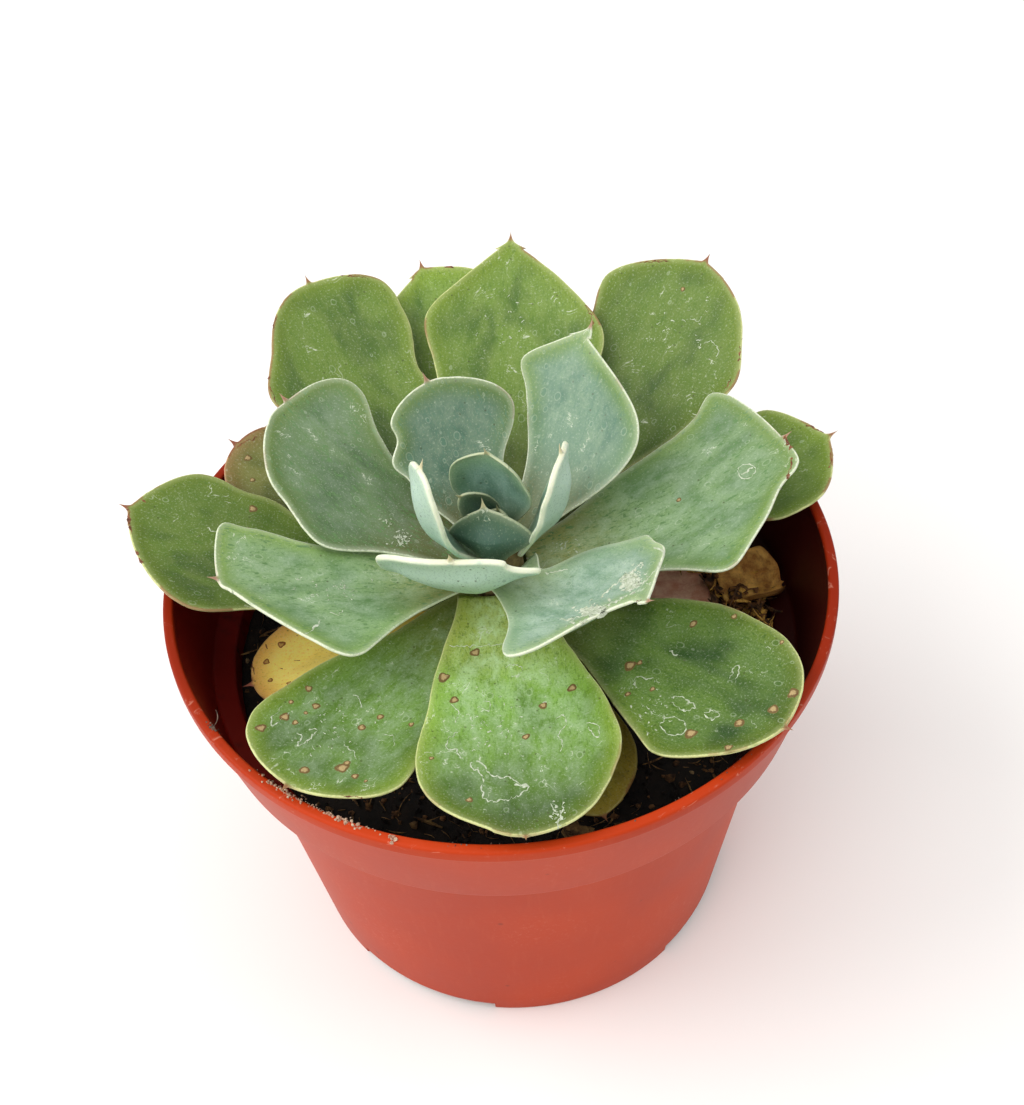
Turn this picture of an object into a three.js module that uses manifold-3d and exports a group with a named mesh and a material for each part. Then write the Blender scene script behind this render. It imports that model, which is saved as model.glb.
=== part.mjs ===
// Rosette succulent in a round nursery pot, in millimetres, +Z up.
// The origin is the middle of the pot's underside, and the plant's axis is the pot's axis.
// Azimuths turn anticlockwise from +X, and the front of the plant is at azimuth 270.
import * as THREE from "three";
import { mergeVertices } from "three/addons/utils/BufferGeometryUtils.js";
import Module from "manifold-3d";

const wasm = await Module();
wasm.setup();

// Clearance between pieces that touch, and the wider one between the soil and the pot's wall
const GAP = 0.3;
const WALL_GAP = 0.45;

// Pot: radii and heights of its outside, and the wall behind it
const POT_HEIGHT = 76.4;
const RIM_RADIUS = 54;
const LIP_WIDTH = 1.7;
const LIP_HEIGHT = 2.4;
const BAND_HEIGHT = 18.2;
const BAND_FOOT_RADIUS = 50;
const BODY_TOP_RADIUS = 46.4;
const BASE_RADIUS = 38.6;
const WALL = 1.1;
const FLOOR = 1.4;
const EDGE_ROUND = 0.5;
const POT_SIDES = 60;

// Pot base: a flat middle and a foot ring, with a raised drainage channel between them
const PAD_RADIUS = 25;
const CHANNEL_OUTER_RADIUS = 33;
const CHANNEL_RISE = 2.2;
const CHANNEL_SLOPE = 0.6;
const ARCH_COUNT = 4;
const ARCH_WIDTH_DEG = 40;
const ARCH_FIRST_DEG = 60.5;
const ARCH_SEGMENTS = 5;
const HOLE_COUNT = 8;
const HOLE_RADIUS = 2.4;
const HOLE_SIDES = 12;

// Soil: its surface lies this high, with a low mound round the stem and a sunken edge
const SOIL_LEVEL = 56.2;
const SOIL_MOUND = 2.6;
const SOIL_EDGE_DROP = 1;
const SOIL_ROUGHNESS = 0.75;
const SOIL_SIDES = 44;
const SOIL_RINGS = 11;
const SOIL_SEED = 41;

// Stem: a short upright trunk that carries the leaves, with a narrowed top
const STEM_RADIUS = 4.2;
const STEM_TOP = 82.2;
const STEM_DEPTH = 14;
const STEM_FOOT_CHAMFER = 1.5;
const STEM_CROWN_HEIGHT = 3;
const STEM_CROWN_RADIUS = 3;
const STEM_CROWN_DOME = 0.9;
const STEM_SIDES = 16;

// Blade mesh: rings along a blade, closer towards its tip, and points across its two faces
const BLADE_RINGS = 11;
const RING_CROWDING = 1.45;
const UPPER_POINTS = 7;
const LOWER_POINTS = 5;
const LOWER_REACH = 0.94;

// Blade form: the tip is half as thick as the base, and ends in a small pointed spine
const TIP_THINNING = 0.5;
const SPINE_WIDTH = 1.5;
const SPINE_POINT = 0.25;
const SWEEP_SHARE = 0.4;
const LOBE_CLEAR = 0.03;

const TERRACOTTA = 0xb5432c;
const PEAT = 0x1c1612;
const STEM_BROWN = 0x6d5a3c;
const OUTER_GREEN = 0x5f8f4d;
const MIDDLE_GREEN = 0x759b7b;
const INNER_GREEN = 0x8aae9f;
const MUSTARD = 0xb59a3c;
const OLIVE = 0x8d9146;
const DRY_PINK = 0x8f6450;
const DRY_GOLD = 0x9a7432;

const degrees = THREE.MathUtils.degToRad;

// Draws that look random but are the same on every run
function seededDraws(seed) {
  const range = 2 ** 32;
  let state = seed;
  return () => {
    state = (state * 1664525 + 1013904223) % range;
    return state / range;
  };
}

// A closed three.js geometry as a solid that can be cut and joined
function solidFrom(geometry) {
  const bare = geometry.clone();
  bare.deleteAttribute("normal");
  bare.deleteAttribute("uv");
  const merged = mergeVertices(bare, 1e-4);
  return new wasm.Manifold(
    new wasm.Mesh({
      numProp: 3,
      vertProperties: new Float32Array(merged.attributes.position.array),
      triVerts: new Uint32Array(merged.index.array),
    }),
  );
}

// A solid back as a three.js geometry
function geometryFrom(solid) {
  const mesh = solid.getMesh();
  const geometry = new THREE.BufferGeometry();
  geometry.setAttribute("position", new THREE.BufferAttribute(mesh.vertProperties, 3));
  geometry.setIndex(new THREE.BufferAttribute(mesh.triVerts, 1));
  geometry.computeVertexNormals();
  return geometry;
}

// The largest connected body of a solid, so that no loose scrap of a cut is kept
function largestBody(solid) {
  const bodies = solid.decompose();
  return bodies.reduce((best, body) => (body.volume() > best.volume() ? body : best));
}

function middleOf(points) {
  const sum = points.reduce((total, p) => total.add(p), new THREE.Vector3());
  return sum.multiplyScalar(1 / points.length);
}

// Skin over a row of closed rings with equal point counts, shut by a fan at each end
function skinRings(rings) {
  const count = rings[0].length;
  const points = rings.flat();
  const faces = [];
  for (let ring = 0; ring < rings.length - 1; ring += 1) {
    for (let i = 0; i < count; i += 1) {
      const a = ring * count + i;
      const b = ring * count + ((i + 1) % count);
      faces.push(a, b, b + count, a, b + count, a + count);
    }
  }
  const addCap = (ring, flip) => {
    points.push(middleOf(rings[ring]));
    const middle = points.length - 1;
    for (let i = 0; i < count; i += 1) {
      const a = ring * count + i;
      const b = ring * count + ((i + 1) % count);
      faces.push(...(flip ? [middle, b, a] : [middle, a, b]));
    }
  };
  addCap(0, true);
  addCap(rings.length - 1, false);
  const geometry = new THREE.BufferGeometry().setFromPoints(points);
  geometry.setIndex(faces);
  return geometry;
}

// A closed profile of [radius, height] pairs turned about the upright axis
function turned(outline, sides) {
  const profile = outline.map(([r, z]) => new THREE.Vector2(r, z));
  return solidFrom(new THREE.LatheGeometry(profile, sides).rotateX(Math.PI / 2));
}

// Outer body radius of the pot at a height, on the cone between the base and the band
function bodyRadius(z) {
  const share = z / (POT_HEIGHT - BAND_HEIGHT);
  return BASE_RADIUS + (BODY_TOP_RADIUS - BASE_RADIUS) * share;
}

// The pot's half section: underside, outside, lip, then back down the inside
function potOutline() {
  const bandFoot = POT_HEIGHT - BAND_HEIGHT;
  const lipFoot = POT_HEIGHT - LIP_HEIGHT;
  const innerLip = RIM_RADIUS - LIP_WIDTH;
  const channelTop = CHANNEL_RISE + FLOOR;
  return [
    [0, 0],
    [PAD_RADIUS, 0],
    [PAD_RADIUS + CHANNEL_SLOPE, CHANNEL_RISE],
    [CHANNEL_OUTER_RADIUS - CHANNEL_SLOPE, CHANNEL_RISE],
    [CHANNEL_OUTER_RADIUS, 0],
    [BASE_RADIUS - EDGE_ROUND, 0],
    [BASE_RADIUS, EDGE_ROUND],
    [BODY_TOP_RADIUS, bandFoot - EDGE_ROUND],
    [BODY_TOP_RADIUS + EDGE_ROUND, bandFoot],
    [BAND_FOOT_RADIUS, bandFoot],
    [BAND_FOOT_RADIUS + EDGE_ROUND / 2, bandFoot + EDGE_ROUND],
    [RIM_RADIUS - EDGE_ROUND, lipFoot - EDGE_ROUND],
    [RIM_RADIUS, lipFoot],
    [RIM_RADIUS, POT_HEIGHT - EDGE_ROUND],
    [RIM_RADIUS - EDGE_ROUND, POT_HEIGHT],
    [innerLip + EDGE_ROUND, POT_HEIGHT],
    [innerLip, POT_HEIGHT - EDGE_ROUND],
    [BAND_FOOT_RADIUS - WALL, bandFoot + WALL + EDGE_ROUND],
    [BODY_TOP_RADIUS - WALL, bandFoot + WALL],
    [bodyRadius(FLOOR) - WALL, FLOOR],
    [CHANNEL_OUTER_RADIUS + CHANNEL_SLOPE, FLOOR],
    [CHANNEL_OUTER_RADIUS, channelTop],
    [PAD_RADIUS, channelTop],
    [PAD_RADIUS - CHANNEL_SLOPE, FLOOR],
    [0, FLOOR],
  ];
}

// A block over a sector of the foot ring, which cuts one drainage arch
function archCutter(middleDeg) {
  const below = 1;
  const inner = CHANNEL_OUTER_RADIUS - 2 * CHANNEL_SLOPE;
  const outer = BASE_RADIUS + 2 * WALL;
  const from = degrees(middleDeg - ARCH_WIDTH_DEG / 2);
  const to = degrees(middleDeg + ARCH_WIDTH_DEG / 2);
  const sector = new THREE.Shape();
  sector.absarc(0, 0, outer, from, to, false);
  sector.absarc(0, 0, inner, to, from, true);
  const block = new THREE.ExtrudeGeometry(sector, {
    depth: below + CHANNEL_RISE,
    bevelEnabled: false,
    curveSegments: ARCH_SEGMENTS,
  });
  return solidFrom(block.translate(0, 0, -below));
}

// A drill through the channel's floor for one drainage hole
function holeCutter(turn) {
  const circle = (PAD_RADIUS + CHANNEL_OUTER_RADIUS) / 2;
  const length = 4 * (CHANNEL_RISE + FLOOR);
  const drill = new THREE.CylinderGeometry(HOLE_RADIUS, HOLE_RADIUS, length, HOLE_SIDES);
  drill.rotateX(Math.PI / 2);
  return solidFrom(drill.translate(circle * Math.cos(turn), circle * Math.sin(turn), 0));
}

function buildPot() {
  let pot = turned(potOutline(), POT_SIDES);
  for (let i = 0; i < ARCH_COUNT; i += 1) {
    pot = pot.subtract(archCutter(ARCH_FIRST_DEG + (i * 360) / ARCH_COUNT));
  }
  for (let i = 0; i < HOLE_COUNT; i += 1) {
    pot = pot.subtract(holeCutter(((i + 0.5) * 2 * Math.PI) / HOLE_COUNT));
  }
  return pot;
}

// Soil: a plug that fills the pot, with seeded bumps on its surface and a hole for the stem
function buildSoil() {
  const draw = seededDraws(SOIL_SEED);
  const bottom = CHANNEL_RISE + FLOOR + GAP;
  const bottomRadius = bodyRadius(bottom) - WALL - WALL_GAP;
  const edge = bodyRadius(SOIL_LEVEL) - WALL - WALL_GAP;
  const circle = (r, height) => {
    const ring = [];
    for (let i = 0; i < SOIL_SIDES; i += 1) {
      const turn = (i * 2 * Math.PI) / SOIL_SIDES;
      ring.push(new THREE.Vector3(r * Math.cos(turn), r * Math.sin(turn), height()));
    }
    return ring;
  };
  const rings = [
    circle(bottomRadius / 2, () => bottom),
    circle(bottomRadius, () => bottom),
    circle(edge, () => SOIL_LEVEL - SOIL_EDGE_DROP + SOIL_ROUGHNESS * draw()),
  ];
  for (let i = SOIL_RINGS - 1; i > 0; i -= 1) {
    const share = i / SOIL_RINGS;
    const mound = SOIL_MOUND * Math.cos((Math.PI / 2) * share);
    const bump = () => SOIL_LEVEL + mound + SOIL_ROUGHNESS * (2 * draw() - 1);
    rings.push(circle(edge * share, bump));
  }
  const holeRadius = STEM_RADIUS + GAP;
  const holeLength = 2 * (STEM_DEPTH + GAP);
  const hole = new THREE.CylinderGeometry(holeRadius, holeRadius, holeLength, STEM_SIDES);
  hole.rotateX(Math.PI / 2).translate(0, 0, SOIL_LEVEL);
  return solidFrom(skinRings(rings)).subtract(solidFrom(hole));
}

function buildStem() {
  const bottom = SOIL_LEVEL - STEM_DEPTH;
  const outline = [
    [0, bottom],
    [STEM_RADIUS - EDGE_ROUND, bottom],
    [STEM_RADIUS, bottom + STEM_FOOT_CHAMFER],
    [STEM_RADIUS, STEM_TOP - STEM_CROWN_HEIGHT],
    [STEM_CROWN_RADIUS, STEM_TOP - STEM_CROWN_DOME],
    [0, STEM_TOP],
  ];
  return turned(outline, STEM_SIDES);
}

// Leaf settings. A leaf's midline runs in the upright plane at its azimuth, from its base on
// the stem (baseRadius, baseHeight) to its tip, given as [radius, height]:
//   curl      how far the midline turns up at its ends, in degrees
//   sweep     how far the tip lies to the left of that plane, seen from the stem
//   roll      how far the blade is tipped over sideways, in degrees
//   cup       half the angle of the arc that its section bends through, in degrees
//   widest    share of the length where the blade has its full width
//   neck      width at the base, as a share of the full width
//   flare     how late the neck widens
//   blunt     how square the end is
//   taper     how slowly the end closes, from 0.5 for a round end to 1 for a pointed one
//   thick     thickness of the middle, and margin that of the edge
//   spine     length of the small point at the tip
//   lobes     bumps and dents of the edge: side 1 is left of the midline, -1 right of it
const LEAF_DEFAULTS = {
  baseRadius: STEM_RADIUS + 0.4,
  curl: 8,
  sweep: 0,
  roll: 0,
  cup: 14,
  widest: 0.66,
  neck: 0.36,
  flare: 1.5,
  blunt: 2.2,
  taper: 0.5,
  thick: 3.2,
  margin: 1,
  spine: 1.8,
  lobes: [],
};

// Lowest leaf first, because each leaf is cut clear of those above it
const LEAVES = [
  {
    name: "leaf_old_yellow", colour: MUSTARD, azimuth: 191, width: 20, baseHeight: 65,
    tip: [42.5, 63], sweep: 2, curl: 1, thick: 2.4,
  },
  {
    name: "leaf_old_olive", colour: OLIVE, azimuth: 286.5, width: 20, baseHeight: 63,
    tip: [44.5, 67], taper: 0.7,
  },
  {
    name: "leaf_outer_left", colour: OUTER_GREEN, azimuth: 173, width: 29, baseHeight: 70,
    tip: [61, 82], sweep: -6, curl: 4, neck: 0.34, blunt: 3.4, taper: 0.9, thick: 2.8,
    lobes: [
      { side: 1, at: 0.6, out: -2.5, spread: 0.3 },
      { side: 1, at: 0.7, out: 5, spread: 0.15 },
      { side: -1, at: 0.5, out: -5.5, spread: 0.1 },
      { side: -1, at: 0.7, out: -4, spread: 0.15 },
    ],
  },
  {
    name: "leaf_outer_left_back", colour: OUTER_GREEN, azimuth: 146, width: 24, baseHeight: 68,
    tip: [52.5, 79.5], curl: 4, thick: 2.8,
  },
  {
    name: "leaf_outer_back_left", colour: OUTER_GREEN, azimuth: 122, width: 29, baseHeight: 73.5,
    tip: [60.5, 94.5], sweep: -3, widest: 0.6, blunt: 2.6, taper: 0.48,
    lobes: [
      { side: 1, at: 0.6, out: -2, spread: 0.3 },
      { side: 1, at: 0.7, out: 4, spread: 0.1 },
      { side: -1, at: 0.6, out: -4.5, spread: 0.15 },
      { side: -1, at: 0.95, out: 2.5, spread: 0.1 },
    ],
  },
  {
    name: "leaf_outer_back_low", colour: OUTER_GREEN, azimuth: 97.5, width: 24, baseHeight: 70.5,
    tip: [61, 90.5], sweep: 2, blunt: 3.3, taper: 0.63,
    lobes: [
      { side: 1, at: 0.95, out: -3, spread: 0.1 },
      { side: -1, at: 0.9, out: 3.5, spread: 0.1 },
    ],
  },
  {
    name: "leaf_outer_back", colour: OUTER_GREEN, azimuth: 84, width: 32.5, baseHeight: 76,
    tip: [59.5, 95.8], widest: 0.62, neck: 0.34, blunt: 1.7, taper: 0.9,
    lobes: [
      { side: 1, at: 0.5, out: -4, spread: 0.3 },
      { side: 1, at: 0.75, out: 2.5, spread: 0.1 },
      { side: -1, at: 0.6, out: -1.5, spread: 0.3 },
      { side: -1, at: 0.7, out: 2.5, spread: 0.15 },
    ],
  },
  {
    name: "leaf_outer_back_right", colour: OUTER_GREEN, azimuth: 54.5, width: 29.5,
    baseHeight: 72.5, tip: [64, 95], sweep: -3, neck: 0.32, blunt: 3.4, taper: 0.79,
    lobes: [
      { side: 1, at: 0.6, out: -3, spread: 0.3 },
      { side: 1, at: 0.85, out: 2.5, spread: 0.1 },
      { side: -1, at: 0.3, out: -3.5, spread: 0.15 },
      { side: -1, at: 0.7, out: 2.5, spread: 0.1 },
    ],
  },
  {
    name: "leaf_outer_right", colour: OUTER_GREEN, azimuth: 18.5, width: 25.5, baseHeight: 70.5,
    tip: [59.5, 81.3], blunt: 2.4, taper: 0.9, curl: 3, thick: 2.8,
    lobes: [
      { side: 1, at: 0.6, out: -4, spread: 0.3 },
      { side: 1, at: 0.9, out: 4, spread: 0.1 },
      { side: -1, at: 0.6, out: -4.5, spread: 0.1 },
      { side: -1, at: 0.9, out: 2.5, spread: 0.1 },
    ],
  },
  {
    name: "leaf_outer_front_right", colour: OUTER_GREEN, azimuth: 317, width: 24.5,
    baseHeight: 69, tip: [55.5, 82], sweep: -3, neck: 0.34, blunt: 2.8, taper: 0.54, curl: 7,
    thick: 2.8, roll: 5,
    lobes: [
      { side: 1, at: 0.55, out: 3, spread: 0.3 },
      { side: 1, at: 0.9, out: 1, spread: 0.15 },
      { side: -1, at: 0.3, out: -4, spread: 0.3 },
      { side: -1, at: 0.75, out: 2, spread: 0.1 },
    ],
  },
  {
    name: "leaf_outer_front", colour: OUTER_GREEN, azimuth: 271, width: 31, baseHeight: 74,
    tip: [53.5, 80], neck: 0.46, blunt: 2, taper: 0.4, spine: 1,
    lobes: [
      { side: 1, at: 0.25, out: -1, spread: 0.3 },
      { side: 1, at: 0.85, out: -1, spread: 0.1 },
      { side: -1, at: 0.5, out: -1.5, spread: 0.2 },
      { side: -1, at: 1, out: -2.5, spread: 0.1 },
    ],
  },
  {
    name: "leaf_outer_front_left", colour: OUTER_GREEN, azimuth: 229, width: 28, baseHeight: 72.5,
    tip: [52.5, 79], sweep: 3, neck: 0.25, blunt: 3.4, taper: 0.51,
    lobes: [
      { side: 1, at: 0.6, out: -1, spread: 0.3 },
      { side: 1, at: 0.85, out: 1, spread: 0.1 },
      { side: -1, at: 0.35, out: -2.5, spread: 0.15 },
      { side: -1, at: 0.6, out: -2, spread: 0.2 },
    ],
  },
  {
    name: "leaf_middle_right", colour: MIDDLE_GREEN, azimuth: 4, width: 29, baseHeight: 75.5,
    tip: [47.5, 89], sweep: 8, neck: 0.36, flare: 1.9, blunt: 6, taper: 0.4,
    lobes: [
      { side: 1, at: 0.6, out: -2, spread: 0.2 },
      { side: 1, at: 0.95, out: 1.5, spread: 0.08 },
      { side: -1, at: 0.6, out: 4.5, spread: 0.1 },
      { side: -1, at: 0.9, out: -5, spread: 0.1 },
    ],
  },
  {
    name: "leaf_middle_left", colour: MIDDLE_GREEN, azimuth: 198, width: 25.5, baseHeight: 76.5,
    tip: [43.5, 90.5], sweep: -2, neck: 0.26, blunt: 3.2, taper: 0.4,
    lobes: [
      { side: 1, at: 0.6, out: 5, spread: 0.15 },
      { side: 1, at: 0.95, out: -5, spread: 0.2 },
      { side: -1, at: 0.55, out: -4.5, spread: 0.25 },
      { side: -1, at: 0.96, out: 3, spread: 0.07 },
    ],
  },
  {
    name: "leaf_middle_back_left", colour: MIDDLE_GREEN, azimuth: 147, width: 30,
    baseHeight: 77.5, tip: [41, 92.5], sweep: -3, neck: 0.39, blunt: 3.3, taper: 0.4,
    lobes: [
      { side: 1, at: 0.45, out: 3.5, spread: 0.15 },
      { side: 1, at: 0.95, out: -3, spread: 0.15 },
      { side: -1, at: 0.4, out: -6, spread: 0.25 },
      { side: -1, at: 0.65, out: -5, spread: 0.25 },
    ],
  },
  {
    name: "leaf_middle_front_right", colour: MIDDLE_GREEN, azimuth: 302, width: 22.5,
    baseHeight: 78.5, tip: [32, 93.8], sweep: 3, roll: 10, neck: 0.45, blunt: 1.3, taper: 0.9,
    lobes: [
      { side: 1, at: 0.15, out: -3.5, spread: 0.1 },
      { side: 1, at: 0.75, out: 2.5, spread: 0.25 },
      { side: -1, at: 0.55, out: 5, spread: 0.15 },
      { side: -1, at: 0.85, out: -5, spread: 0.15 },
    ],
  },
  {
    name: "leaf_middle_back_right", colour: MIDDLE_GREEN, azimuth: 52, width: 20.5,
    baseHeight: 78.5, tip: [32, 101.2], sweep: 3, widest: 0.56, neck: 0.32, blunt: 2.1,
    taper: 0.81,
    lobes: [
      { side: 1, at: 0.4, out: -5, spread: 0.3 },
      { side: 1, at: 0.8, out: 3, spread: 0.1 },
      { side: -1, at: 0.55, out: 4, spread: 0.3 },
      { side: -1, at: 0.95, out: -3.5, spread: 0.2 },
    ],
  },
  {
    name: "leaf_middle_back", colour: MIDDLE_GREEN, azimuth: 106, width: 24, baseRadius: 4.4,
    baseHeight: 79, tip: [23.5, 97], sweep: 3, neck: 0.33, blunt: 1.6, taper: 0.46,
    lobes: [
      { side: 1, at: 0.5, out: -1.5, spread: 0.1 },
      { side: 1, at: 0.75, out: -2.5, spread: 0.1 },
      { side: -1, at: 0.4, out: -3.5, spread: 0.2 },
      { side: -1, at: 1, out: -1.5, spread: 0.15 },
    ],
  },
  {
    name: "leaf_inner_front", colour: INNER_GREEN, azimuth: 241, width: 25.5, baseRadius: 4.4,
    baseHeight: 79.5, tip: [15.4, 93.4], sweep: 0.5, curl: 18, cup: 9, widest: 0.73, blunt: 3.4,
    roll: 16,
    lobes: [
      { side: 1, at: 0.86, out: -4, spread: 0.1 },
    ],
  },
  {
    name: "leaf_inner_left", colour: INNER_GREEN, azimuth: 204, width: 10.5, baseRadius: 3.8,
    baseHeight: 81, tip: [11.2, 103.5], curl: 28, cup: 12, thick: 2.4,
  },
  {
    name: "leaf_inner_right", colour: INNER_GREEN, azimuth: 347, width: 12, baseRadius: 3.8,
    baseHeight: 81, tip: [10.4, 102.5], curl: 12, cup: 16, roll: -4, blunt: 3,
  },
  {
    name: "leaf_inner_back", colour: INNER_GREEN, azimuth: 78, width: 15, baseRadius: 3.6,
    baseHeight: 82, tip: [3.8, 97], sweep: 1.5, curl: 12, cup: 30, roll: -12, widest: 0.57,
    blunt: 3.5, taper: 0.66, thick: 2.6,
    lobes: [
      { side: -1, at: 0.8, out: -2, spread: 0.3 },
    ],
  },
  {
    name: "leaf_bud_front", colour: INNER_GREEN, azimuth: 254, width: 14, baseRadius: 3.8,
    baseHeight: 82, tip: [2.7, 92], sweep: -1, curl: 7, cup: 23, widest: 0.42, blunt: 1.6,
    taper: 0.95, thick: 2.2,
  },
  {
    name: "leaf_bud_left", colour: INNER_GREEN, azimuth: 165, width: 8, baseRadius: 2.4,
    baseHeight: 82.8, tip: [5, 89.7], cup: 30, thick: 2,
  },
  {
    name: "leaf_bud_back", colour: INNER_GREEN, azimuth: 60, width: 4, baseRadius: 1.4,
    baseHeight: 83, tip: [0.9, 87.8], cup: 30, thick: 1.8,
  },
];

// Dead leaves that lie on the soil, in hollows that the soil leaves for them
const DRY_LEAVES = [
  {
    name: "leaf_dry_felted", colour: DRY_PINK, azimuth: 12, width: 21,
    baseRadius: 9, baseHeight: 62, tip: [36, 59.6],
    curl: 4, cup: 10, neck: 0.7, blunt: 5, thick: 1.1, margin: 0.9, spine: 0.3,
  },
  {
    name: "leaf_dry_low", colour: DRY_PINK, azimuth: 52, width: 14,
    baseRadius: 7, baseHeight: 65, tip: [36, 62.5],
    curl: 4, thick: 1.2, margin: 0.9, spine: 0.6,
  },
  {
    name: "leaf_dry_curled", colour: DRY_GOLD, azimuth: 6, width: 12,
    baseRadius: 37.6, baseHeight: 60.6, tip: [48, 61.4],
    curl: -10, cup: 75, neck: 0.6, blunt: 3, thick: 1.1, margin: 0.9, spine: 0.5,
  },
];

// The blade's midline: a smooth curve whose ends turn up from its chord by the leaf's curl
function midline(leaf) {
  const [tipRadius, tipHeight] = leaf.tip;
  const run = tipRadius - leaf.baseRadius;
  const climb = tipHeight - leaf.baseHeight;
  const reach = Math.hypot(run, climb) / 3;
  const chord = Math.atan2(climb, run);
  const first = chord - degrees(leaf.curl);
  const last = chord + degrees(leaf.curl);
  const azimuth = degrees(leaf.azimuth);
  const place = (r, z, across) =>
    new THREE.Vector3(
      r * Math.cos(azimuth) - across * Math.sin(azimuth),
      r * Math.sin(azimuth) + across * Math.cos(azimuth),
      z,
    );
  const leaving = [reach * Math.cos(first), reach * Math.sin(first)];
  const arriving = [reach * Math.cos(last), reach * Math.sin(last)];
  return new THREE.CubicBezierCurve3(
    place(leaf.baseRadius, leaf.baseHeight, 0),
    place(leaf.baseRadius + leaving[0], leaf.baseHeight + leaving[1], 0),
    place(tipRadius - arriving[0], tipHeight - arriving[1], leaf.sweep * SWEEP_SHARE),
    place(tipRadius, tipHeight, leaf.sweep),
  );
}

// Half the blade's width at a share of its length: a neck that flares, then a rounded end
function halfWidth(leaf, share) {
  const full = leaf.width / 2;
  if (share < leaf.widest) {
    const grown = Math.sin((Math.PI / 2) * (share / leaf.widest)) ** leaf.flare;
    return full * (leaf.neck + (1 - leaf.neck) * grown);
  }
  const past = (share - leaf.widest) / (1 - leaf.widest);
  const end = Math.max(0, 1 - past ** leaf.blunt) ** leaf.taper;
  return Math.max(full * end, SPINE_WIDTH / 2);
}

// How far the edge's bumps and dents move it outwards on one side; they end short of the tip
function lobeOffset(leaf, share, side) {
  const offset = leaf.lobes
    .filter((lobe) => lobe.side === side)
    .reduce((sum, { at, out, spread }) => sum + out * Math.exp(-(((share - at) / spread) ** 2)), 0);
  return offset * Math.sqrt(Math.min(1, (1 - share) / LOBE_CLEAR));
}

// One closed ring of points round the blade at a share of its length
function bladeRing(leaf, curve, share, grow) {
  const centre = curve.getPoint(share);
  const along = curve.getTangent(share);
  const azimuth = degrees(leaf.azimuth);
  const level = new THREE.Vector3(-Math.sin(azimuth), Math.cos(azimuth), 0);
  const normal = new THREE.Vector3().crossVectors(along, level).normalize();
  const side = new THREE.Vector3().crossVectors(normal, along).normalize();
  normal.applyAxisAngle(along, degrees(leaf.roll));
  side.applyAxisAngle(along, degrees(leaf.roll));
  const arc = degrees(leaf.cup);
  const middleThickness = leaf.thick * (1 - TIP_THINNING * share ** 3);
  const point = (v, under) => {
    const bare = halfWidth(leaf, share) + lobeOffset(leaf, share, Math.sign(v));
    const half = Math.max(bare, SPINE_WIDTH / 2) + grow;
    const sideways = (half * Math.sin(v * arc)) / arc;
    const lift = (half * (1 - Math.cos(v * arc))) / arc;
    const depth = leaf.margin + (middleThickness - leaf.margin) * (1 - v * v);
    const height = lift + (under ? -depth - grow : grow);
    return centre.clone().addScaledVector(side, sideways).addScaledVector(normal, height);
  };
  const ring = [];
  for (let i = 0; i < UPPER_POINTS; i += 1) {
    ring.push(point(-1 + (2 * i) / (UPPER_POINTS - 1), false));
  }
  for (let i = 0; i < LOWER_POINTS; i += 1) {
    ring.push(point(LOWER_REACH * (1 - (2 * i) / (LOWER_POINTS - 1)), true));
  }
  return ring.reverse();
}

// A leaf blade with its pointed tip; grow makes it larger all over, for cutting clearances
function bladeSolid(settings, grow) {
  const leaf = { ...LEAF_DEFAULTS, ...settings };
  const curve = midline(leaf);
  const rings = [];
  for (let i = 0; i <= BLADE_RINGS; i += 1) {
    const share = 1 - (1 - i / BLADE_RINGS) ** RING_CROWDING;
    rings.push(bladeRing(leaf, curve, share, grow));
  }
  const last = rings[rings.length - 1];
  const backward = curve.getTangent(0).multiplyScalar(-grow);
  const forward = curve.getTangent(1).multiplyScalar(leaf.spine + grow);
  const point = middleOf(last).add(forward);
  rings[0] = rings[0].map((p) => p.clone().add(backward));
  rings.push(last.map((p) => point.clone().lerp(p.clone().add(forward), SPINE_POINT)));
  return solidFrom(skinRings(rings));
}

// Every leaf keeps clear of the leaves above it, which lie on it near the stem
function buildLeaves() {
  const grown = LEAVES.map((leaf) => bladeSolid(leaf, GAP));
  return LEAVES.map((leaf, index) => {
    const above = grown.slice(index + 1);
    const solid = above.reduce((rest, other) => rest.subtract(other), bladeSolid(leaf, 0));
    return [leaf, largestBody(solid)];
  });
}

function addMesh(group, name, solid, color, roughness) {
  const material = new THREE.MeshStandardMaterial({ color, roughness, metalness: 0 });
  const mesh = new THREE.Mesh(geometryFrom(solid), material);
  mesh.name = name;
  group.add(mesh);
}

const plant = new THREE.Group();
const dryLeaves = DRY_LEAVES.map((leaf) => [leaf, bladeSolid(leaf, 0)]);
const soil = DRY_LEAVES.reduce((rest, leaf) => rest.subtract(bladeSolid(leaf, GAP)), buildSoil());
addMesh(plant, "pot", buildPot(), TERRACOTTA, 0.45);
addMesh(plant, "soil", largestBody(soil), PEAT, 0.95);
addMesh(plant, "stem", buildStem(), STEM_BROWN, 0.85);
for (const [leaf, solid] of [...dryLeaves, ...buildLeaves()]) {
  addMesh(plant, leaf.name, solid, leaf.colour, 0.6);
}

export default plant;
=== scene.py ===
import math
import random

import bmesh
import bpy
import numpy as np
from mathutils import Matrix, Vector, noise
from mathutils.bvhtree import BVHTree


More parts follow.
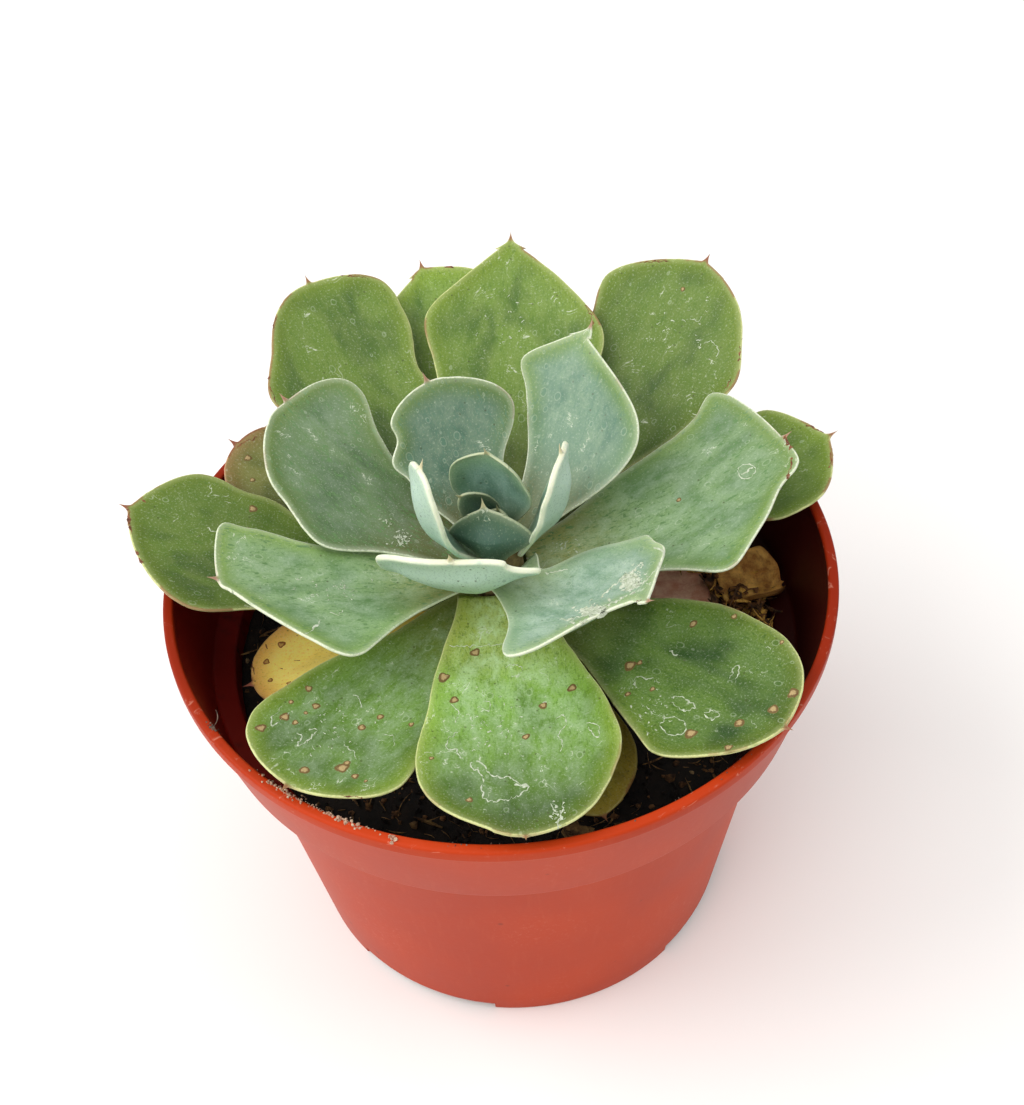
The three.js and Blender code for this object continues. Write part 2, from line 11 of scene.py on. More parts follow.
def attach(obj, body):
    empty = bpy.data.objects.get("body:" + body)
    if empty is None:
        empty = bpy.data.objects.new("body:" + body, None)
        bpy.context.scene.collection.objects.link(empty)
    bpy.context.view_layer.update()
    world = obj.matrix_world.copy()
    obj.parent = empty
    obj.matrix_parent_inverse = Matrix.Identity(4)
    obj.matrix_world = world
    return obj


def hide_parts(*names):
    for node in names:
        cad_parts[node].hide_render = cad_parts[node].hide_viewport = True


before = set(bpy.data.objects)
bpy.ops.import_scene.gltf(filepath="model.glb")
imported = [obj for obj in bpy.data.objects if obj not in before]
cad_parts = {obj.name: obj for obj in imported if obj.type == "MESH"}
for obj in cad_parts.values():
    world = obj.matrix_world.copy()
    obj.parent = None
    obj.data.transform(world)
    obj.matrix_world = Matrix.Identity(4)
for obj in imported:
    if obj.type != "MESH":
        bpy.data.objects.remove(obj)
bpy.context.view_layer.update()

MM = 0.001
FULL_TURN = 2 * math.pi

# Camera, and the size of the frame that it is set for
FRAME_WIDTH = 1024
FRAME_HEIGHT = 1105
CAMERA_PLACE = Vector((0, -173.088, 266.838))
CAMERA_AIM = Vector((2.214, 0, 78.84))
CAMERA_ROLL = math.radians(-3.64)
CAMERA_LENS = 56.25
SENSOR_WIDTH = 36

# Lamps: name, place and size in metres, power in watts, and colour
LAMPS = (
    ("window", (-0.99, 0.05, 1.05), 1.1, 11.5, (1.0, 0.99, 0.975)),
    ("front", (-0.6, -0.82, 1.0), 1.0, 6.5, (1.0, 0.985, 0.965)),
    ("right", (1.0, 0.0, 1.05), 1.0, 4.0, (0.98, 0.99, 1.0)),
    ("top", (0.0, 0.1, 1.5), 1.2, 3.0, (1.0, 1.0, 1.0)),
)
LAMP_AIM = (0, 0, 0.07)
ROOM_COLOUR = (1.0, 0.995, 0.99, 1)
ROOM_LIGHT = 0.56
FLOOR_REACH = 3000

# Pot
POT_HEIGHT = 76.4
RIM_RADIUS = 54
LIP_WIDTH = 1.7
LIP_HEIGHT = 2.4
BAND_HEIGHT = 18.2
BAND_LINE = POT_HEIGHT - BAND_HEIGHT
BAND_FOOT_RADIUS = 50
BODY_TOP_RADIUS = 46.4
BASE_RADIUS = 38.6
WALL = 1.1
FLOOR = 1.4
CORNER_RADIUS = 0.55
CREASE_DEG = 38
POT_SIDES = 240
PAD_RADIUS = 25
CHANNEL_OUTER_RADIUS = 33
CHANNEL_RISE = 2.2
CHANNEL_SLOPE = 0.6
ARCH_COUNT = 4
ARCH_WIDTH_DEG = 40
ARCH_FIRST_DEG = 60.5
ARCH_STEPS = 12
HOLE_COUNT = 8
HOLE_RADIUS = 2.4
HOLE_SIDES = 32
HOLE_REACH = 8

# Soil and stem
SOIL_LEVEL = 56.2
SOIL_MOUND = 2.6
SOIL_EDGE_DROP = 1
SOIL_ROUGHNESS = 0.6
SOIL_GAP = 0.1
SOIL_BOTTOM = CHANNEL_RISE + FLOOR + 0.3
SOIL_BOTTOM_GAP = 0.4
SOIL_BOTTOM_MIDDLE = 10
SOIL_SIDES = 220
SOIL_RINGS = 70
STEM_RADIUS = 4.2
STEM_TOP = 82.2
STEM_DEPTH = 14
STEM_BEVEL = 0.35
STEM_SKIN = 0.15
STEM_SIDES = 48
STEM_STEPS = 40
LITTER_TOP = 62.4

# Blade mesh and form
RINGS = 104
ACROSS = 37
TIP_THINNING = 0.5
SWEEP_SHARE = 0.4
LOBE_CLEAR = 0.03
POINT_START = 0.965
TIP_REACH = 3.4
POINT_FLARE = 2.4
POINT_WIDTH = 0.5
RIDGE = 0.16
LEAF_RELIEF = 0.22
DRY_RELIEF = 0.15
UNDERSIDE_SHIFT = 90.0

# Scars and raised marks on the leaves
SCAR_SIDES = 26
SCAR_RINGS = 5
SCAR_HEIGHT = 0.12
MARK_HEIGHT = 0.06
SUNK = 0.03
WANDER = 2.2


def srgb(text):
    """A colour written as #rrggbb, as linear values."""
    parts = [int(text[i:i + 2], 16) / 255 for i in (1, 3, 5)]
    linear = [c / 12.92 if c <= 0.04045 else ((c + 0.055) / 1.055) ** 2.4 for c in parts]
    return (*linear, 1.0)


def smoothstep(x):
    x = np.clip(x, 0, 1)
    return x * x * (3 - 2 * x)


def on_circle(radius, turn):
    return radius * math.cos(turn), radius * math.sin(turn)


# Camera and light

def camera_axes():
    forward = (CAMERA_AIM - CAMERA_PLACE).normalized()
    level = forward.cross(Vector((0, 0, 1))).normalized()
    rise = level.cross(forward)
    right = math.cos(CAMERA_ROLL) * level + math.sin(CAMERA_ROLL) * rise
    up = math.cos(CAMERA_ROLL) * rise - math.sin(CAMERA_ROLL) * level
    return right, up, forward


def make_camera():
    data = bpy.data.cameras.new("camera")
    data.sensor_fit = "HORIZONTAL"
    data.sensor_width = SENSOR_WIDTH
    data.lens = CAMERA_LENS
    data.clip_start = 0.01
    camera = bpy.data.objects.new("camera", data)
    bpy.context.scene.collection.objects.link(camera)
    right, up, forward = camera_axes()
    turn = Matrix((right, up, -forward)).transposed().to_4x4()
    camera.matrix_world = Matrix.Translation(CAMERA_PLACE * MM) @ turn
    bpy.context.scene.camera = camera


def sight_line(pixel):
    """Where the eye is, in metres, and the direction in which it sees a pixel."""
    right, up, forward = camera_axes()
    focal = CAMERA_LENS / SENSOR_WIDTH * FRAME_WIDTH
    x = (pixel[0] - FRAME_WIDTH / 2) / focal
    y = (pixel[1] - FRAME_HEIGHT / 2) / focal
    return CAMERA_PLACE * MM, (forward + x * right - y * up).normalized()


def make_lights():
    for name, place, size, power, colour in LAMPS:
        data = bpy.data.lights.new(name, "AREA")
        data.shape = "DISK"
        data.size = size
        data.energy = power
        data.color = colour
        light = bpy.data.objects.new(name, data)
        bpy.context.scene.collection.objects.link(light)
        light.location = place
        light.rotation_euler = (Vector(place) - Vector(LAMP_AIM)).to_track_quat("Z", "Y").to_euler()
    world = bpy.data.worlds.new("studio")
    bpy.context.scene.world = world
    world.use_nodes = True
    room = world.node_tree.nodes["Background"].inputs
    room["Color"].default_value = ROOM_COLOUR
    room["Strength"].default_value = ROOM_LIGHT
    bpy.context.scene.view_settings.view_transform = "Standard"


# Materials

class Paint:
    """One material: its colour so far, which layers cover, and short ways to add nodes."""

    def __init__(self, name, roughness, **sockets):
        self.material = bpy.data.materials.new(name)
        self.material.use_nodes = True
        self.tree = self.material.node_tree
        self.shader = self.tree.nodes["Principled BSDF"].inputs
        self.colour = None
        self.shader["Roughness"].default_value = roughness
        for socket, value in sockets.items():
            self.shader[socket.replace("_", " ")].default_value = value

    def put(self, socket, value):
        if isinstance(value, bpy.types.NodeSocket):
            self.tree.links.new(value, socket)
        else:
            socket.default_value = value

    def node(self, kind, inputs=None, output=0, **settings):
        """A new node's output; inputs are values or other outputs, by name or number."""
        node = self.tree.nodes.new("ShaderNode" + kind)
        for key, value in settings.items():
            setattr(node, key, value)
        for key, value in (inputs or {}).items():
            self.put(node.inputs[key], value)
        return node.outputs[output]

    def attribute(self, name, output="Fac"):
        return self.node("Attribute", output=output, attribute_name=name)

    def place(self):
        return self.node("TexCoord", output="Object")

    def xyz(self, vector):
        return self.node("SeparateXYZ", {0: vector}).node.outputs

    def math(self, operation, a, b=0.0):
        return self.node("Math", {0: a, 1: b}, operation=operation)

    def plus(self, a, b):
        return self.math("ADD", a, b)

    def minus(self, a, b):
        return self.math("SUBTRACT", a, b)

    def absolute(self, a):
        return self.math("ABSOLUTE", a)

    def times(self, a, *others):
        for b in others:
            a = self.math("MULTIPLY", a, b)
        return a

    def fade(self, value, low, high):
        """0 at low and 1 at high, with a soft start and end; low may be the larger one."""
        flip = low > high
        ends = {"From Min": min(low, high), "From Max": max(low, high)}
        results = {"To Min": 1.0 if flip else 0.0, "To Max": 0.0 if flip else 1.0}
        return self.node("MapRange", {"Value": value, **ends, **results}, interpolation_type="SMOOTHSTEP")

    def mix(self, share, a, b):
        return self.node("Mix", {0: share, 6: a, 7: b}, 2, data_type="RGBA")

    def start(self, share, low, high):
        self.colour = self.mix(share, srgb(low), srgb(high))

    def cover(self, share, tone, strength=None):
        """Lay a tone over the colour so far, where share is above 0."""
        if strength is not None:
            share = self.times(share, strength)
        self.colour = self.mix(share, self.colour, srgb(tone))

    def brighten(self, factor):
        self.colour = self.node("VectorMath", {0: self.colour, "Scale": factor}, operation="SCALE")

    def stretch(self, vector, scale, shift=(0, 0, 0)):
        return self.node("Mapping", {"Vector": vector, "Location": shift, "Scale": scale})

    def noise(self, vector, scale, detail=3.0, rough=0.5, distortion=0.0):
        form = {"Scale": scale, "Detail": detail, "Roughness": rough, "Distortion": distortion}
        return self.node("TexNoise", {"Vector": vector, **form}, "Fac")

    def cells(self, vector, scale):
        """Distance to the nearest of scattered points, and a random value for its cell."""
        distance = self.node("TexVoronoi", {"Vector": vector, "Scale": scale}, "Distance")
        return distance, self.node("SeparateColor", {0: distance.node.outputs["Color"]})

    def specks(self, vector, scale, outer, core, rarity, tone, strength):
        """Small round specks in some of the cells."""
        distance, pick = self.cells(vector, scale)
        share = self.times(self.fade(distance, outer, core), self.fade(pick, rarity, rarity + 0.04))
        self.cover(share, tone, strength)

    def bump(self, height, depth, strength):
        return self.node("Bump", {"Height": height, "Distance": depth * MM, "Strength": strength})

    def done(self, roughness=None, normal=None):
        for socket, value in (("Base Color", self.colour), ("Roughness", roughness), ("Normal", normal)):
            if value is not None:
                self.put(self.shader[socket], value)
        return self.material


# Leaf looks: light and dark of the blade, its foot, the wax bloom on it, its edge, warm parts and
# point, then the shares of bloom, browning, scratches, dried water, drops and pale underside
SHARES = ("bloom_share", "brown", "scratches", "chalk", "drops", "under", "rim_width")
COLOURS = ("light", "dark", "foot", "bloom", "rim", "warm", "point")


def leaf_look(slot, colours, shares):
    return {"slot": slot, **dict(zip(COLOURS, colours.split())), **dict(zip(SHARES, shares))}


OUTER = leaf_look(
    "leaf_outer_green", "#6f8f30 #4b6d20 #7a7f38 #93a75c #cfd394 #7f982a #8a4a3a",
    (0.42, 0.75, 0.45, 0.1, 0.88, 0.1, 0.3),
)
MIDDLE = leaf_look(
    "leaf_middle_green", "#7f9f68 #5f8350 #8a8748 #a3b99c #e2e8cf #7f9c44 #a06a56",
    (0.55, 0.3, 1.0, 0.1, 0.86, 0.3, 0.32),
)
INNER = leaf_look(
    "leaf_inner_green", "#7b9f8d #587d6d #667a5a #a4c4b6 #f0f2d8 #86a67e #c4b88e",
    (0.45, 0.1, 0.1, 0.0, 0.75, 0.85, 0.5),
)
LOOKS = {
    "outer": OUTER,
    "front": {
        **OUTER, "light": "#6c903c", "bloom": "#94ab86", "bloom_share": 0.6, "chalk": 0.45, "brown": 0.35,
    },
    "middle": MIDDLE,
    "wet": {**MIDDLE, "light": "#74967c", "dark": "#58806a", "drops": 0.6, "scratches": 0.4},
    "icy": {
        **MIDDLE, "light": "#86a088", "dark": "#6d8c74", "foot": "#8a9a6c", "bloom": "#b4c6b8",
        "warm": "#8fa868", "scratches": 0.5,
    },
    "deep": {
        **OUTER, "light": "#73963c", "dark": "#2f5618", "bloom": "#7d9b64", "bloom_share": 0.35,
        "drops": 0.84, "brown": 0.4,
    },
    "aged": {
        **OUTER, "light": "#8d8f46", "dark": "#64702e", "foot": "#66732c", "bloom": "#a3a068",
        "warm": "#a88a52", "rim": "#b98d68", "brown": 1.0,
    },
    "inner": INNER,
    "bud": {**INNER, "under": 0.0, "rim": "#c2c8a6", "rim_width": 0.26},
    "mustard": leaf_look(
        "leaf_mustard", "#dcc25e #b8a044 #cdb04a #e6d68c #c59a60 #c08a42 #a0584a",
        (0.2, 0.9, 0.2, 0.0, 0.97, 0.0, 0.3),
    ),
    "olive": leaf_look(
        "leaf_olive", "#93862c #6b6120 #7a702c #a09850 #a39650 #8f7a2c #8a4a3a",
        (0.2, 0.7, 0.4, 0.0, 0.97, 0.0, 0.3),
    ),
}
PALE_WAX = "#bfd6c6"
PALE_DUST = "#d3dec6"
DRIED_WATER = "#d8dfc9"
DARK_SPECK = "#3f4220"
WORN_BROWN = "#87502f"


def leaf_material(name, look, seed, tone):
    """A fleshy leaf: flat holds the place on the blade in mm, edge the distance to its edge."""
    paint = Paint(
        name, 0.5, Subsurface_Weight=0.1, Subsurface_Radius=(0.9, 1.2, 0.4), Subsurface_Scale=MM,
        Specular_IOR_Level=0.35,
    )
    dark, drops, brown = look["dark"], look["drops"], look["brown"]
    place = paint.stretch(paint.attribute("flat", "Vector"), (1, 1, 1), (seed * 7.3, seed * 3.1, 0))
    grain = paint.stretch(place, (0.75, 1.15, 1))
    edge = paint.attribute("edge")
    along = paint.attribute("along")
    patches = paint.noise(grain, 0.11, 1.0, 0.5, 0.8)
    clouds = paint.noise(grain, 0.36, 5.0, 0.68, 0.3)
    grit = paint.noise(place, 2.6, 3.0, 0.75)
    bloom = paint.fade(clouds, 0.3, 0.72)

    # Broad tones: the foot, a warm edge, the wax bloom, then this leaf's brightness, partly its own tone and
    # partly painted light and painted shade
    paint.start(paint.fade(patches, 0.32, 0.62), dark, look["light"])
    paint.cover(paint.fade(along, 0.48, 0.12), look["foot"], 0.75)
    paint.cover(paint.times(paint.fade(edge, 4.5, 0.4), paint.fade(along, 0.25, 0.8)), look["warm"], 0.8)
    paint.cover(paint.times(bloom, paint.fade(edge, 0.4, 5.0)), look["bloom"], look["bloom_share"])
    # The foot and tip brightness holds painted light and painted shade as well as the leaf's own tone
    foot_tone, tip_tone = tone
    paint.brighten(paint.plus(foot_tone, paint.times(along, tip_tone - foot_tone)))
    if look["under"]:
        paint.cover(paint.attribute("under"), PALE_WAX, look["under"])

    # Fine texture: dark pores, pale dust, short scratches along the blade and specks
    paint.cover(paint.fade(grit, 0.46, 0.32), dark, 0.6)
    paint.cover(paint.fade(grit, 0.54, 0.7), PALE_DUST, 0.3)
    lines = paint.noise(paint.stretch(place, (0.5, 1.5, 1)), 1.5, 2.0, 0.65, 0.8)
    scratch = paint.times(paint.fade(lines, 0.55, 0.63), paint.fade(clouds, 0.6, 0.44))
    paint.cover(scratch, dark, look["scratches"])
    paint.specks(place, 0.8, 0.2, 0.08, 0.8, DARK_SPECK, 0.6)

    # Dried water: thin broken outlines of puddles, and a few drops
    if look["chalk"]:
        puddles = paint.noise(place, 0.17, 4.0, 0.6, 0.7)
        outline = paint.fade(paint.absolute(paint.minus(puddles, 0.53)), 0.009, 0.002)
        zone_low = 0.62 - 0.3 * look["chalk"]
        zone = paint.fade(patches, zone_low, zone_low + 0.06)
        paint.cover(paint.times(outline, paint.fade(clouds, 0.5, 0.56), zone), DRIED_WATER, 0.7)
    distance, pick = paint.cells(paint.stretch(place, (0.85, 1.2, 1)), 0.5)
    wobbly = paint.plus(distance, paint.times(paint.minus(clouds, 0.5), 0.4))
    size = paint.plus(0.1, paint.times(paint.fade(pick, drops, 1.0), 0.2))
    offset = paint.minus(wobbly, size)
    present = paint.fade(pick, drops, drops + 0.01)
    paint.cover(paint.times(paint.fade(paint.absolute(offset), 0.06, 0.0), present), PALE_DUST, 0.22)
    paint.cover(paint.times(paint.fade(offset, -0.02, -0.08), present), dark, 0.4)

    # The edge: a soft glow, a thin pale line, brown where it is worn, and a red-brown point
    ragged = paint.plus(edge, paint.times(paint.minus(grit, 0.5), 0.6))
    paint.cover(paint.fade(edge, 1.4, 0.15), look["rim"], 0.24)
    rim = paint.times(paint.fade(ragged, look["rim_width"], 0.08), paint.fade(clouds, 0.24, 0.5))
    paint.cover(rim, look["rim"], 0.9)
    tired = paint.times(paint.fade(patches, 0.3 + 0.28 * brown, 0.24 + 0.28 * brown), brown)
    wear_and_highlight = paint.times(paint.fade(ragged, 0.6, 0.1), tired, paint.fade(along, 0.35, 0.65))
    paint.cover(wear_and_highlight, WORN_BROWN)
    paint.cover(paint.attribute("point"), look["point"], 0.85)

    relief = paint.plus(paint.times(grit, 0.5), paint.times(clouds, 0.6))
    shine = paint.plus(0.42, paint.times(bloom, 0.15))
    return paint.done(shine, paint.bump(relief, 0.13, 0.55))


def pot_material():
    """Plastic with fine vertical lines, dust, a scuffed lip, painted shade on the lip's sides and back, and
    painted light at and under the band's foot.
    """
    paint = Paint("pot_plastic", 0.4, Specular_IOR_Level=0.1)
    place = paint.place()
    _, y, z = paint.xyz(place)
    broad = paint.noise(place, 22)
    paint.start(paint.fade(broad, 0.35, 0.7), "#a83412", "#b83d15")
    drawn = paint.noise(paint.stretch(place, (1, 1, 0.08)), 900, 3.0, 0.6)
    paint.cover(paint.fade(drawn, 0.5, 0.8), "#d2714f", 0.08)
    dust = paint.fade(paint.noise(place, 1500, 3.0, 0.7), 0.55, 0.75)
    dusty = paint.fade(paint.noise(place, 45), 0.45, 0.72)
    paint.cover(paint.times(dust, dusty), "#d9a58f", 0.2)
    paint.specks(place, 260, 0.16, 0.06, 0.86, "#6b2517", 0.55)
    lip = paint.fade(z, (POT_HEIGHT - 1.2) * MM, (POT_HEIGHT - 0.3) * MM)
    paint.cover(lip, "#bd3a12", 0.6)
    # Painted shade: the lip darker at its sides and back than at the front
    lip_shade_away_from_front = paint.fade(y, -50 * MM, -15 * MM)
    paint.cover(paint.times(lip, lip_shade_away_from_front), "#7c1c08", 0.75)
    below = paint.minus(BAND_LINE * MM, z)
    # Painted highlight: a pale line on the band's foot; painted light: the body just under the band made
    # brighter where the band's shadow falls
    wear_and_highlight = paint.times(paint.fade(below, -0.5 * MM, 0), paint.fade(below, 0.3 * MM, 0))
    paint.cover(wear_and_highlight, "#f0906c", 0.8)
    painted_light_under_band = paint.times(paint.fade(below, 0.1 * MM, 0.5 * MM), paint.fade(below, 4.5 * MM, 0.6 * MM))
    paint.cover(painted_light_under_band, "#ee6a3c", 0.9)
    scuffs = paint.noise(paint.stretch(place, (1, 1, 2.5)), 300, 4.0, 0.65, 1.5)
    paint.cover(paint.times(paint.fade(scuffs, 0.6, 0.72), paint.times(lip, 0.4)), "#e0a48c")
    shine = paint.plus(0.33, paint.times(broad, 0.2))
    return paint.done(shine, paint.bump(paint.noise(place, 700, 4.0, 0.6), 0.05, 0.35))


def pot_inside_material():
    """The same plastic, stained by damp peat from the soil up to just under the lip and darkened with painted
    shade; painted light on the left wall, painted shade on the right.
    """
    paint = Paint("pot_inside", 0.5, Specular_IOR_Level=0.22)
    place = paint.place()
    x, _, z = paint.xyz(place)
    streaks = paint.noise(paint.stretch(place, (1, 1, 0.25)), 160, 4.0, 0.65)
    level = paint.plus(z, paint.times(streaks, 6 * MM))
    # Darker towards the soil: partly a damp peat stain, partly painted shade
    higher_on_wall = paint.fade(level, (SOIL_LEVEL + 6) * MM, (POT_HEIGHT + 2.5) * MM)
    paint.start(higher_on_wall, "#3a0603", "#5c1208")
    # Painted light on the left of the inner wall, painted shade on the right
    paint.cover(paint.fade(x, 10 * MM, -40 * MM), "#8c140a", 0.8)
    paint.cover(paint.fade(x, 10 * MM, 40 * MM), "#2a0201", 0.7)
    paint.cover(paint.fade(streaks, 0.55, 0.75), "#180403", 0.5)
    return paint.done(None, paint.bump(streaks, 0.1, 0.4))


def earthy_material(name, dark, light, accent, scale, accent_share=0.3, roughness=0.9):
    """Soil, crumbs, litter and crust: three tones broken up by noise, and a rough face."""
    paint = Paint(name, roughness)
    place = paint.place()
    broad = paint.noise(place, scale, 5.0, 0.65)
    fine = paint.noise(place, scale * 6, 4.0, 0.7)
    paint.start(paint.fade(broad, 0.35, 0.68), dark, light)
    paint.cover(paint.fade(fine, 0.58, 0.72), accent, accent_share)
    return paint.done(None, paint.bump(paint.plus(broad, paint.times(fine, 0.5)), 0.3, 0.8))


def dry_leaf_material(name, dark, light, vein):
    """Papery dead leaf: streaks along it, blotches, and a darker edge."""
    paint = Paint(name, 0.75)
    flat = paint.attribute("flat", "Vector")
    grain = paint.noise(paint.stretch(flat, (0.14, 1, 1)), 1.6, 5.0, 0.7, 0.5)
    blotches = paint.noise(flat, 0.3, 5.0, 0.7, 0.2)
    felt = paint.noise(flat, 5.0, 4.0, 0.75)
    paint.start(paint.fade(blotches, 0.36, 0.66), dark, light)
    paint.cover(paint.fade(grain, 0.48, 0.7), vein, 0.65)
    paint.cover(paint.fade(felt, 0.5, 0.72), light, 0.4)
    paint.cover(paint.fade(paint.attribute("edge"), 0.7, 0.05), dark, 0.6)
    return paint.done(None, paint.bump(paint.plus(grain, paint.times(felt, 0.6)), 0.3, 0.9))


def scar_material(name, middle, ring, border):
    """Corky scars: pale in the middle, with a darker ring round it."""
    paint = Paint(name, 0.7)
    blur = paint.times(paint.minus(paint.noise(paint.place(), 2600, 3.0, 0.7), 0.5), 0.6)
    reach = paint.plus(paint.attribute("reach"), blur)
    paint.start(paint.fade(reach, 0.35, 0.62), middle, ring)
    paint.cover(paint.fade(reach, 0.72, 0.98), border)
    paint.cover(paint.fade(blur, 0.02, 0.12), "#57401f", 0.6)
    return paint.done(None, paint.bump(blur, 0.2, 0.8))


# Leaves: places in mm, angles in degrees. A lobe is a side of the blade (1 is anticlockwise),
# where it lies along the blade, how far it stands out in mm, and how long it is.
LEAF_DEFAULTS = dict(
    base_radius=STEM_RADIUS + 0.4, curl=8, sweep=0, roll=0, cup=14, widest=0.66, neck=0.36,
    flare=1.5, blunt=2.2, taper=0.5, thick=3.2, margin=0.6, spine=1.8, lobes=(), waves=0.25,
)


def leaf(look, tone, azimuth, width, base_height, tip, **form):
    """One leaf: its look, its brightness at foot and tip (partly its own tone, partly painted light and
    shade), and its tip's radius and height.
    """
    place = dict(azimuth=azimuth, width=width, base_height=base_height, tip=tip)
    return {**LEAF_DEFAULTS, "look": look, "tone": tone, **place, **form}
